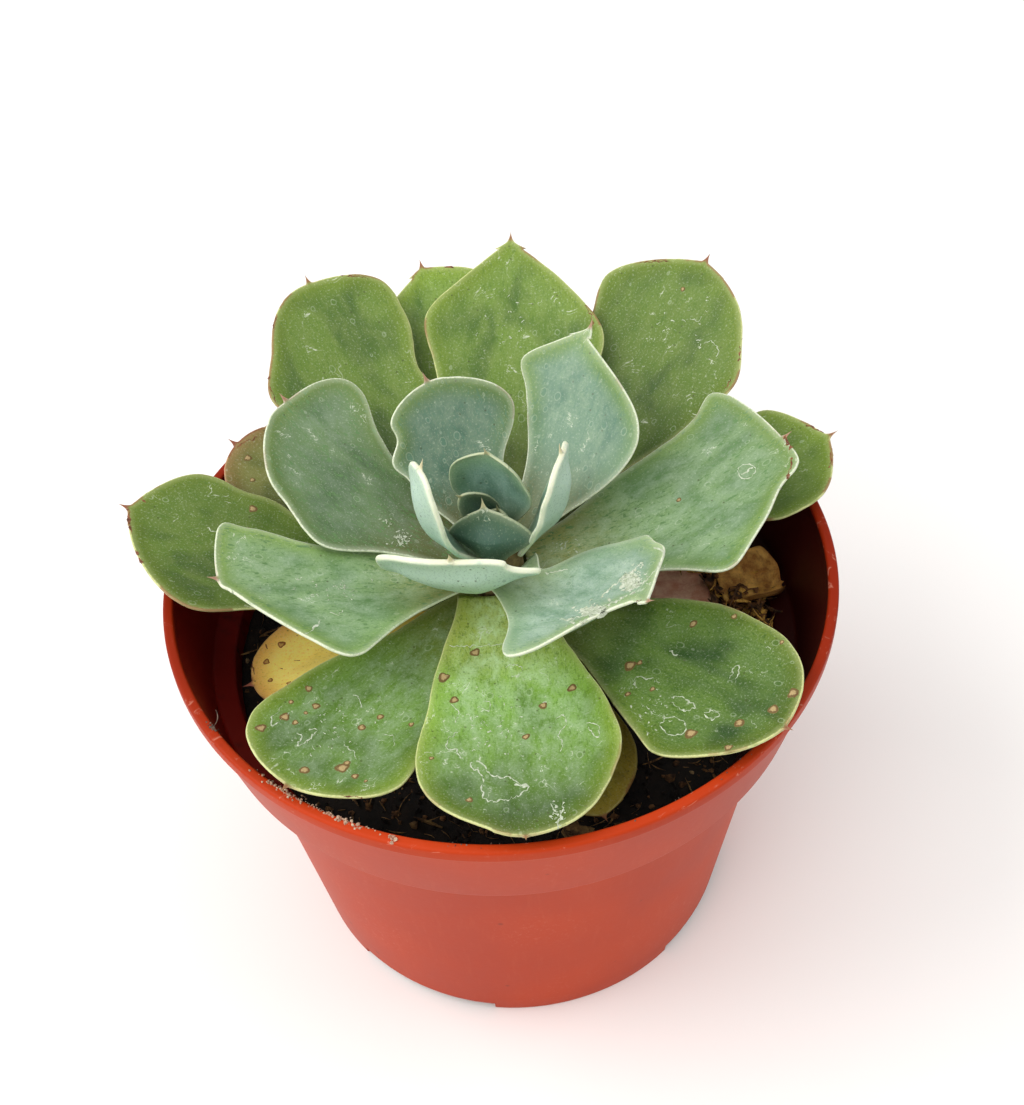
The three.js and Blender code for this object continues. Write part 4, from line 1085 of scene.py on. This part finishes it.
def scab_faces(first):
    faces = []
    for ring in range(SCAR_RINGS):
        for i in range(SCAR_SIDES):
            j = (i + 1) % SCAR_SIDES
            a = first + 1 + (ring - 1) * SCAR_SIDES
            b = a + SCAR_SIDES
            faces.append([a + i, b + i, b + j, a + j] if ring else [first, b + i, b + j])
    return faces


def make_scars(leaves):
    """Raised scabs at the places that the photograph shows, one piece for each leaf."""
    draw = random.Random(7)
    green = scar_material("leaf_scar", "#b39a6a", "#6b5228", "#6f8138")
    yellow = scar_material("leaf_scar_yellow", "#c79a4c", "#8a4f22", "#c49a3c")
    for name, scars in SCARS.items():
        tree = surface_tree(leaves[name])
        points, faces, reach = [], [], []
        for px, py, width in scars:
            eye, ray = sight_line((px, py))
            hit, normal, _, _ = tree.ray_cast(eye, ray)
            if hit is None or normal.z < 0.1:
                continue
            faces += scab_faces(len(points))
            scab_points, scab_reach = scab(tree, hit, normal, width, draw)
            points += scab_points
            reach += scab_reach
        material = yellow if name == "leaf_old_yellow" else green
        piece = mesh_object(name + "_scars", points, faces, material)
        add_values(piece, "reach", reach)
        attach(piece, "root")


def softened(line):
    """A line with its corners cut."""
    result = [line[0]]
    for (x0, y0), (x1, y1) in zip(line, line[1:]):
        for near, far in ((0.75, 0.25), (0.25, 0.75)):
            result.append((near * x0 + far * x1, near * y0 + far * y1))
    return result + [line[-1]]


def mark_ribbon(tree, line, width, draw):
    """Rows of three points along a line on a leaf: both sides and a raised middle."""
    line = softened(softened(line))
    path = []
    for (x0, y0), (x1, y1) in zip(line, line[1:]):
        steps = max(1, int(math.hypot(x1 - x0, y1 - y0) * 1.5))
        path += [(x0 + (x1 - x0) * i / steps, y0 + (y1 - y0) * i / steps) for i in range(steps)]
    hits = []
    offset = draw.uniform(0, 50)
    for i, (px, py) in enumerate(path):
        px += WANDER * noise.noise(Vector((i / 4 + offset, offset, 0.5)))
        py += WANDER * noise.noise(Vector((i / 4 + offset, offset, 9.5)))
        eye, ray = sight_line((px, py))
        hit, normal, _, _ = tree.ray_cast(eye, ray)
        if hit is not None:
            hits.append((hit, normal))
    rows = []
    for i, (hit, normal) in enumerate(hits):
        ahead = hits[min(i + 1, len(hits) - 1)][0] - hits[max(i - 1, 0)][0]
        side = normal.cross(ahead).normalized()
        share = max(0.08, 0.5 + 0.9 * noise.noise(Vector((i / 3, offset, 7.5))))
        out = side * width / 2 * MM * share * draw.uniform(0.7, 1.2)
        shifts = ((out, -SUNK), (Vector((0, 0, 0)), MARK_HEIGHT), (-out, -SUNK))
        rows.append([(hit + shift + normal * height * MM) / MM for shift, height in shifts])
    return rows


def crust_lines(seed):
    """Short random lines for the crust patches, by leaf."""
    draw = random.Random(seed)
    found = {}
    for leaf_name, (px, py), (wide, high), count, width in CRUSTS:
        for _ in range(count):
            x, y = draw.gauss(px, wide / 2), draw.gauss(py, high / 2)
            end = (x + draw.uniform(-2.5, 2.5), y + draw.uniform(-2, 2))
            found.setdefault(leaf_name, []).append((width * draw.uniform(0.6, 1.5), ((x, y), end)))
    return found


def make_marks(leaves, lines_by_leaf, ending, material, seed):
    """Thin raised lines on the leaves, one piece for each leaf."""
    draw = random.Random(seed)
    for name, lines in lines_by_leaf.items():
        tree = surface_tree(leaves[name])
        points, faces = [], []
        for width, line in lines:
            rows = mark_ribbon(tree, line, width, draw)
            first = len(points)
            points += [point for row in rows for point in row]
            for i in range(len(rows) - 1):
                for a in (first + 3 * i, first + 3 * i + 1):
                    faces.append([a, a + 1, a + 4, a + 3])
        if not faces:
            continue
        piece = mesh_object(name + ending, points, faces, material)
        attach(piece, "root")


# Pot

def rounded(outline, radius, steps=4):
    """An outline of [radius, height] corners with each corner turned into a small arc."""
    result = [outline[0]]
    for before, corner, after in zip(outline, outline[1:], outline[2:]):
        corner = Vector(corner)
        back, ahead = Vector(before) - corner, Vector(after) - corner
        cut = min(radius, 0.45 * back.length, 0.45 * ahead.length)
        start = corner + back.normalized() * cut
        end = corner + ahead.normalized() * cut
        for i in range(steps + 1):
            t = i / steps
            result.append(tuple((1 - t) ** 2 * start + 2 * t * (1 - t) * corner + t * t * end))
    return result + [outline[-1]]


def body_radius(z):
    return BASE_RADIUS + (BODY_TOP_RADIUS - BASE_RADIUS) * z / (POT_HEIGHT - BAND_HEIGHT)


def pot_outline():
    inner_lip = RIM_RADIUS - LIP_WIDTH
    lip_foot = POT_HEIGHT - LIP_HEIGHT
    ledge = BAND_LINE + WALL
    channel_top = CHANNEL_RISE + FLOOR
    outside = [
        (0, 0), (PAD_RADIUS, 0), (PAD_RADIUS + CHANNEL_SLOPE, CHANNEL_RISE),
        (CHANNEL_OUTER_RADIUS - CHANNEL_SLOPE, CHANNEL_RISE), (CHANNEL_OUTER_RADIUS, 0),
        (BASE_RADIUS, 0), *((body_radius(z), z) for z in (5, 9, 25)),
        (BODY_TOP_RADIUS, BAND_LINE - 0.4), (BODY_TOP_RADIUS + 0.5, BAND_LINE), (BAND_FOOT_RADIUS, BAND_LINE),
        (RIM_RADIUS - 0.75, lip_foot - 0.6), (RIM_RADIUS, lip_foot), (RIM_RADIUS, POT_HEIGHT),
    ]
    inside = [
        (inner_lip, POT_HEIGHT), (inner_lip - 0.1, lip_foot), (BAND_FOOT_RADIUS - WALL, ledge + 0.5),
        (BODY_TOP_RADIUS - WALL, ledge), (body_radius(FLOOR) - WALL, FLOOR),
        (CHANNEL_OUTER_RADIUS + CHANNEL_SLOPE, FLOOR), (CHANNEL_OUTER_RADIUS, channel_top),
        (PAD_RADIUS, channel_top), (PAD_RADIUS - CHANNEL_SLOPE, FLOOR), (0, FLOOR),
    ]
    return rounded(outside + inside, CORNER_RADIUS)


def turned_object(name, outline, sides, material, wobble):
    """An outline turned about the upright axis; it starts and ends on the axis."""
    points, faces, rows = [], [], []
    for r, z in outline:
        if r < 1e-6:
            rows.append([len(points)] * sides)
            points.append((0, 0, z))
            continue
        rows.append(list(range(len(points), len(points) + sides)))
        for i in range(sides):
            turn = i * FULL_TURN / sides
            points.append((*on_circle(r + wobble(turn, z), turn), z))
    for low, high in zip(rows, rows[1:]):
        for i in range(sides):
            j = (i + 1) % sides
            faces.append(list(dict.fromkeys([low[i], low[j], high[j], high[i]])))
    return mesh_object(name, points, faces, material)


def arch_tool(middle_deg):
    inner, outer = CHANNEL_OUTER_RADIUS - 2 * CHANNEL_SLOPE, BASE_RADIUS + 2 * WALL
    points = []
    for z in (-1, CHANNEL_RISE):
        for r in (inner, outer):
            for i in range(ARCH_STEPS + 1):
                turn = math.radians(middle_deg + ARCH_WIDTH_DEG * (i / ARCH_STEPS - 0.5))
                points.append((*on_circle(r, turn), z))
    row = ARCH_STEPS + 1
    faces = []
    for i in range(ARCH_STEPS):
        a, b, c, d = i, row + i, 2 * row + i, 3 * row + i
        faces += [[a, a + 1, b + 1, b], [c, d, d + 1, c + 1], [a, c, c + 1, a + 1], [b, b + 1, d + 1, d]]
    end = ARCH_STEPS
    faces += [[0, row, 3 * row, 2 * row], [end, 2 * row + end, 3 * row + end, row + end]]
    return mesh_object("arch", points, faces, smooth=False)


def hole_tool(turn):
    x, y = on_circle((PAD_RADIUS + CHANNEL_OUTER_RADIUS) / 2, turn)
    points, faces = [], []
    for z in (-HOLE_REACH, HOLE_REACH):
        for i in range(HOLE_SIDES):
            out_x, out_y = on_circle(HOLE_RADIUS, i * FULL_TURN / HOLE_SIDES)
            points.append((x + out_x, y + out_y, z))
    for i in range(HOLE_SIDES):
        j = (i + 1) % HOLE_SIDES
        faces.append([i, j, HOLE_SIDES + j, HOLE_SIDES + i])
    faces.append(list(range(HOLE_SIDES))[::-1])
    faces.append(list(range(HOLE_SIDES, 2 * HOLE_SIDES)))
    return mesh_object("hole", points, faces, smooth=False)


def make_pot():
    def wobble(turn, z):
        x, y = on_circle(2, turn)
        return 0.06 * noise.noise(Vector((x, y, z / 40)))

    pot = turned_object("pot_shell", pot_outline(), POT_SIDES, pot_material(), wobble)
    pot.data.materials.append(pot_inside_material())
    for face in pot.data.polygons:
        out = face.center.xy.length
        outwards = face.normal.x * face.center.x + face.normal.y * face.center.y
        ledge = face.normal.z > 0.3 and out < (RIM_RADIUS - LIP_WIDTH) * MM
        if (ledge or outwards < -0.2 * out) and face.center.z < (POT_HEIGHT - 0.7) * MM:
            face.material_index = 1
    tools = [arch_tool(ARCH_FIRST_DEG + i * 360 / ARCH_COUNT) for i in range(ARCH_COUNT)]
    tools += [hole_tool((i + 0.5) * FULL_TURN / HOLE_COUNT) for i in range(HOLE_COUNT)]
    for tool in tools:
        cut = pot.modifiers.new("cut", "BOOLEAN")
        cut.object = tool
        cut.operation = "DIFFERENCE"
        cut.solver = "EXACT"
    graph = bpy.context.evaluated_depsgraph_get()
    mesh = bpy.data.meshes.new_from_object(pot.evaluated_get(graph))
    pot.modifiers.clear()
    pot.data = mesh
    for tool in tools:
        bpy.data.objects.remove(tool)
    mesh.shade_smooth()
    mesh.set_sharp_from_angle(angle=math.radians(CREASE_DEG))
    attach(pot, "root")
    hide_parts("pot")


# Soil, and what lies on it

def soil_height(x, y, edge):
    share = min(1, math.hypot(x, y) / edge)
    mound = SOIL_MOUND * math.cos(math.pi / 2 * share)
    lumps = noise.fractal(Vector((x / 5, y / 5, 2.0)), 0.9, 2.1, 4) * SOIL_ROUGHNESS
    drop = SOIL_EDGE_DROP * max(0, share - 0.9) * 10
    return SOIL_LEVEL + mound + lumps - 0.6 * drop


def on_soil(radius, turn, edge, above):
    """A place at some height above the soil."""
    x, y = on_circle(radius, turn)
    return x, y, soil_height(x, y, edge) + above


def make_soil():
    edge = body_radius(SOIL_LEVEL) - WALL - SOIL_GAP
    turns = [i * FULL_TURN / SOIL_SIDES for i in range(SOIL_SIDES)]
    points = [on_soil(0, 0, edge, 0)]
    for ring in range(1, SOIL_RINGS + 1):
        points += [on_soil(edge * ring / SOIL_RINGS, turn, edge, 0) for turn in turns]
    for r in (body_radius(SOIL_BOTTOM) - WALL - SOIL_BOTTOM_GAP, SOIL_BOTTOM_MIDDLE):
        points += [(*on_circle(r, turn), SOIL_BOTTOM) for turn in turns]
    faces = [[0, 1 + i, 1 + (i + 1) % SOIL_SIDES] for i in range(SOIL_SIDES)]
    for ring in range(SOIL_RINGS + 1):
        a, b = 1 + ring * SOIL_SIDES, 1 + (ring + 1) * SOIL_SIDES
        for i in range(SOIL_SIDES):
            j = (i + 1) % SOIL_SIDES
            faces.append([a + i, b + i, b + j, a + j])
    faces.append([1 + (SOIL_RINGS + 1) * SOIL_SIDES + i for i in range(SOIL_SIDES)])
    material = earthy_material("peat", "#0c0907", "#241a13", "#4a3421", 350, 0.35)
    soil = mesh_object("soil_bed", points, faces, material)
    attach(soil, "root")
    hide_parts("soil")


def lump(draw, centre, size, rough=0.35):
    """Points and faces of one crumb: a small ball pushed out of shape."""
    ball = bmesh.new()
    bmesh.ops.create_icosphere(ball, subdivisions=1, radius=1)
    scale = Vector([draw.uniform(0.6, 1.2) for _ in range(3)])
    spin = Matrix.Rotation(draw.uniform(0, 6.3), 3, Vector([draw.uniform(-1, 1) for _ in range(3)]))
    points = []
    for vertex in ball.verts:
        push = 1 + draw.uniform(-rough, rough)
        point = spin @ Vector([c * k * push for c, k in zip(vertex.co, scale)])
        points.append(Vector(centre) + point * size)
    faces = [[v.index for v in face.verts] for face in ball.faces]
    ball.free()
    return points, faces


def strand(draw, centre, length, thickness, level=0.25):
    """Points and faces of a thin bent fibre with a three-sided section."""
    heading = draw.uniform(0, FULL_TURN)
    bend = draw.uniform(-1.2, 1.2)
    rise = draw.uniform(-level, level)
    spot = Vector(centre)
    points, faces = [], []
    steps = 6
    for i in range(steps + 1):
        x, y = on_circle(1, heading + bend * i / steps)
        width = thickness / 2 * (1 - 0.6 * abs(2 * i / steps - 1))
        side = Vector((-y, x, 0))
        for corner in range(3):
            across, up = on_circle(1, corner * FULL_TURN / 3)
            points.append(spot + width * (across * side + up * Vector((0, 0, 1))))
        spot = spot + Vector((x, y, rise * math.cos(math.pi * i / steps))) * length / steps
    for i in range(steps):
        for corner in range(3):
            a, b = 3 * i + corner, 3 * i + (corner + 1) % 3
            faces.append([a, b, b + 3, a + 3])
    faces += [[2, 1, 0], [3 * steps, 3 * steps + 1, 3 * steps + 2]]
    return points, faces


def flake(draw, centre, size):
    """A thin curled scrap of dead leaf."""
    turn, tilt = draw.uniform(0, FULL_TURN), draw.uniform(-0.7, 0.7)
    bend, slim = draw.uniform(0.1, 0.4), draw.uniform(0.35, 0.8)
    corners = []
    for i in (-1, 0, 1):
        for j in (-1, 0, 1):
            along = i * size / 2 * draw.uniform(0.7, 1.1)
            across = j * size / 2 * slim * draw.uniform(0.6, 1.1)
            lift = along * math.sin(tilt) - bend * abs(across) + draw.uniform(-0.1, 0.1)
            x = centre[0] + along * math.cos(turn) - across * math.sin(turn)
            y = centre[1] + along * math.sin(turn) + across * math.cos(turn)
            corners.append((x, y, centre[2] + lift))
    points = corners + [(x, y, z - 0.12) for x, y, z in corners]
    faces = []
    for a in (0, 1, 3, 4):
        faces.append([a, a + 3, a + 4, a + 1])
        faces.append([a + 9, a + 10, a + 13, a + 12])
    rim = [0, 1, 2, 5, 8, 7, 6, 3]
    faces += [[a, b, b + 9, a + 9] for a, b in zip(rim, rim[1:] + rim[:1])]
    return points, faces


def join_parts(name, parts, material):
    """One piece from many small closed bits."""
    points, faces = [], []
    for bit_points, bit_faces in parts:
        first = len(points)
        points += [tuple(p) for p in bit_points]
        faces += [[first + i for i in face] for face in bit_faces]
    piece = mesh_object(name, points, faces, material, smooth=False)
    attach(piece, "root")


# Crumbs: how many, their smallest and largest size, dark and light tone
CRUMBS = {
    "soil_crumbs_dark": (1500, (0.25, 1.1), "#0a0706", "#2a1e15"),
    "soil_crumbs_brown": (800, (0.2, 0.9), "#3a2414", "#94693f"),
    "soil_crumbs_pale": (160, (0.15, 0.5), "#5d4a33", "#b3966b"),
}
FIBRE_COUNT = 700
FIBRE_LENGTHS = (1.5, 5)
FIBRE_WIDTHS = (0.12, 0.4)


def make_crumbs():
    draw = random.Random(11)
    edge = body_radius(SOIL_LEVEL) - WALL - 0.8
    for name, (count, sizes, dark, light) in CRUMBS.items():
        parts = []
        for _ in range(count):
            r, turn = edge * math.sqrt(draw.random()), draw.uniform(0, FULL_TURN)
            size = draw.uniform(*sizes) * draw.uniform(0.5, 1)
            parts.append(lump(draw, on_soil(r, turn, edge, 0.2 * size), size))
        join_parts(name, parts, earthy_material(name, dark, light, light, 900))
    fibres = []
    for _ in range(FIBRE_COUNT):
        r, turn = edge * math.sqrt(draw.random()) * 0.97, draw.uniform(0, FULL_TURN)
        place = on_soil(r, turn, edge, 0.35)
        fibres.append(strand(draw, place, draw.uniform(*FIBRE_LENGTHS), draw.uniform(*FIBRE_WIDTHS)))
    material = earthy_material("peat_fibre", "#523820", "#a8824f", "#cfae78", 700, 0.4)
    join_parts("soil_fibres", fibres, material)


# Crust and dirt on the lip: azimuth, spread in degrees, distance in from the rim, count, size
CRUST_PATCHES = (
    (229.7, 4.5, 1.5, 60, 0.26), (236, 5.0, 1.6, 70, 0.22), (242.5, 2.5, 1.4, 30, 0.3),
    (250.6, 0.6, 0.9, 9, 0.36), (246, 3.0, 1.5, 20, 0.2),
)
DIRT_PATCHES = ((213, 1.2, 1.6, 26, 0.24), (262, 8, 1.5, 14, 0.16), (300, 14, 1.5, 16, 0.16))
LIP_FIBRE_RADIUS = 52.4
LIP_FIBRE_AZIMUTH = 213


def lip_bits(draw, patches):
    parts = []
    for azimuth, spread, inset, count, size in patches:
        for _ in range(count):
            turn = math.radians(draw.gauss(azimuth, spread / 2))
            r = RIM_RADIUS - max(0.15, draw.gauss(inset, 0.35))
            bit = size * draw.uniform(0.25, 1)
            top = POT_HEIGHT - (0.9 if r < RIM_RADIUS - LIP_WIDTH else 0)
            parts.append(lump(draw, (*on_circle(r, turn), top + 0.1 * bit), bit, 0.4))
    return parts


def make_lip_dirt():
    draw = random.Random(23)
    crust = earthy_material("mineral_crust", "#a5745c", "#dcc4a8", "#f4ead8", 1600, 0.4, 0.8)
    join_parts("lip_crust", lip_bits(draw, CRUST_PATCHES), crust)
    dirt = earthy_material("lip_dirt_tone", "#3f322a", "#7d6a5c", "#a39383", 1600, 0.4)
    parts = lip_bits(draw, DIRT_PATCHES)
    place = (*on_circle(LIP_FIBRE_RADIUS, math.radians(LIP_FIBRE_AZIMUTH)), POT_HEIGHT + 0.25)
    parts.append(strand(draw, place, 3.2, 0.22))
    join_parts("lip_dirt", parts, dirt)


# Litter on the soil. Twigs: radius, azimuth, length, thickness. Scraps: radius, azimuth, size.
# Chunks at the front: place and size. Heaps at the right: dark, light and accent tone, count, and
# their middle and spread as radius and azimuth.
TWIGS = (
    (40, 8, 9, 0.9), (37, 352, 8, 0.7), (41, 357, 6, 0.6), (33, 356, 6, 0.8), (42, 15, 7, 0.7),
    (41, 291, 5, 0.9), (38, 245, 5, 0.7), (40, 232, 4, 0.6), (36, 255, 5, 0.6),
)
SCRAPS = ((43, 355, 1.1), (42, 289, 1.6), (41, 4, 1.3), (36, 350, 0.9), (39, 246, 1.0))
FRONT_CHUNKS = ((8.2, -41.6, 61.4, 1.9), (9.6, -42.2, 61.6, 1.6), (10.8, -42.4, 61.4, 1.3))
FRONT_TWIG = (7, -42, 62.3)
HEAPS = {
    "litter_gold": ("#8a5a20", "#f0bc58", "#ffe09a", 120),
    "litter_brown": ("#2a190d", "#8a5c30", "#c4925a", 240),
}
HEAP_MIDDLE = (41.5, 6)
HEAP_SPREAD = (3.5, 10)
HEAP_STRANDS = ((1.5, 6), (0.25, 0.8))
HEAP_FLAKES = (1.2, 4)
HEAP_LUMPS = (0.3, 1.0)


def heap_bit(draw, edge):
    """One strand, flake or lump of the heap of dead leaf at the right."""
    radius = min(edge - 1.5, draw.gauss(HEAP_MIDDLE[0], HEAP_SPREAD[0]))
    x, y = on_circle(radius, math.radians(draw.gauss(HEAP_MIDDLE[1], HEAP_SPREAD[1])))
    place = (x, y, draw.uniform(soil_height(x, y, edge) + 0.3, LITTER_TOP))
    if draw.random() < 0.5:
        lengths, widths = HEAP_STRANDS
        return strand(draw, place, draw.uniform(*lengths), draw.uniform(*widths), 0.5)
    if draw.random() < 0.4:
        return flake(draw, place, draw.uniform(*HEAP_FLAKES))
    return lump(draw, (x, y, place[2] - 0.2), draw.uniform(*HEAP_LUMPS), 0.55)


def make_litter():
    draw = random.Random(31)
    edge = body_radius(SOIL_LEVEL) - WALL
    parts = []
    for radius, azimuth, length, thickness in TWIGS:
        place = on_soil(radius, math.radians(azimuth), edge, 0.7)
        parts.append(strand(draw, place, length, thickness, 0.12))
    for radius, azimuth, size in SCRAPS:
        parts.append(lump(draw, on_soil(radius, math.radians(azimuth), edge, 0.4), size, 0.5))
    for *place, size in FRONT_CHUNKS:
        parts.append(lump(draw, place, size, 0.45))
    parts.append(strand(draw, FRONT_TWIG, 6, 0.9, 0.2))
    for name, (dark, light, accent, count) in HEAPS.items():
        heap = [heap_bit(draw, edge) for _ in range(count)]
        join_parts(name, heap, earthy_material(name, dark, light, accent, 700, 0.4))
    material = earthy_material("litter_tone", "#4a321c", "#9c7a48", "#c4a26a", 500, 0.4)
    join_parts("soil_litter", parts, material)


def make_stem():
    def scars(turn, z):
        x, y = on_circle(1.5, turn)
        return 0.28 * noise.noise(Vector((x, y, z / 3))) - 0.14

    bottom = SOIL_LEVEL - STEM_DEPTH
    outline = [(0, bottom), (STEM_RADIUS - STEM_SKIN - STEM_BEVEL, bottom)]
    for i in range(STEM_STEPS + 1):
        outline.append((STEM_RADIUS - STEM_SKIN, bottom + 1 + (STEM_TOP - 3 - bottom) * i / STEM_STEPS))
    outline += [(3, STEM_TOP - 1.1), (0, STEM_TOP - 0.3)]
    material = earthy_material("stem_bark", "#4b3a22", "#8c7a4c", "#a99663", 260, 0.35, 0.8)
    stem = turned_object("stem_trunk", outline, STEM_SIDES, material, scars)
    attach(stem, "root")
    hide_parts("stem")


def make_floor():
    paint = Paint("studio_floor", 0.6)
    paint.start(paint.noise(paint.place(), 3.0, 2.0), "#f6f5f3", "#fbfaf8")
    corners = [(x * FLOOR_REACH, y * FLOOR_REACH, 0) for x, y in ((-1, -1), (1, -1), (1, 1), (-1, 1))]
    mesh_object("studio_floor", corners, [[0, 1, 2, 3]], paint.done(), smooth=False)


make_camera()
make_lights()
make_floor()
make_pot()
make_soil()
make_crumbs()
make_litter()
make_lip_dirt()
make_stem()
make_dry_leaves()
leaves = make_leaves()
make_scars(leaves)
chalk = earthy_material("chalk_tone", "#b4c0a2", "#dfe5d2", "#f4f6ee", 1800, 0.3, 0.8)
cork = earthy_material("cork_tone", "#5d3520", "#9c6440", "#c49a6c", 1500, 0.3, 0.8)
make_marks(leaves, CHALK, "_chalk", chalk, 19)
make_marks(leaves, CORK, "_cork", cork, 29)
make_marks(leaves, crust_lines(37), "_crust", chalk, 41)
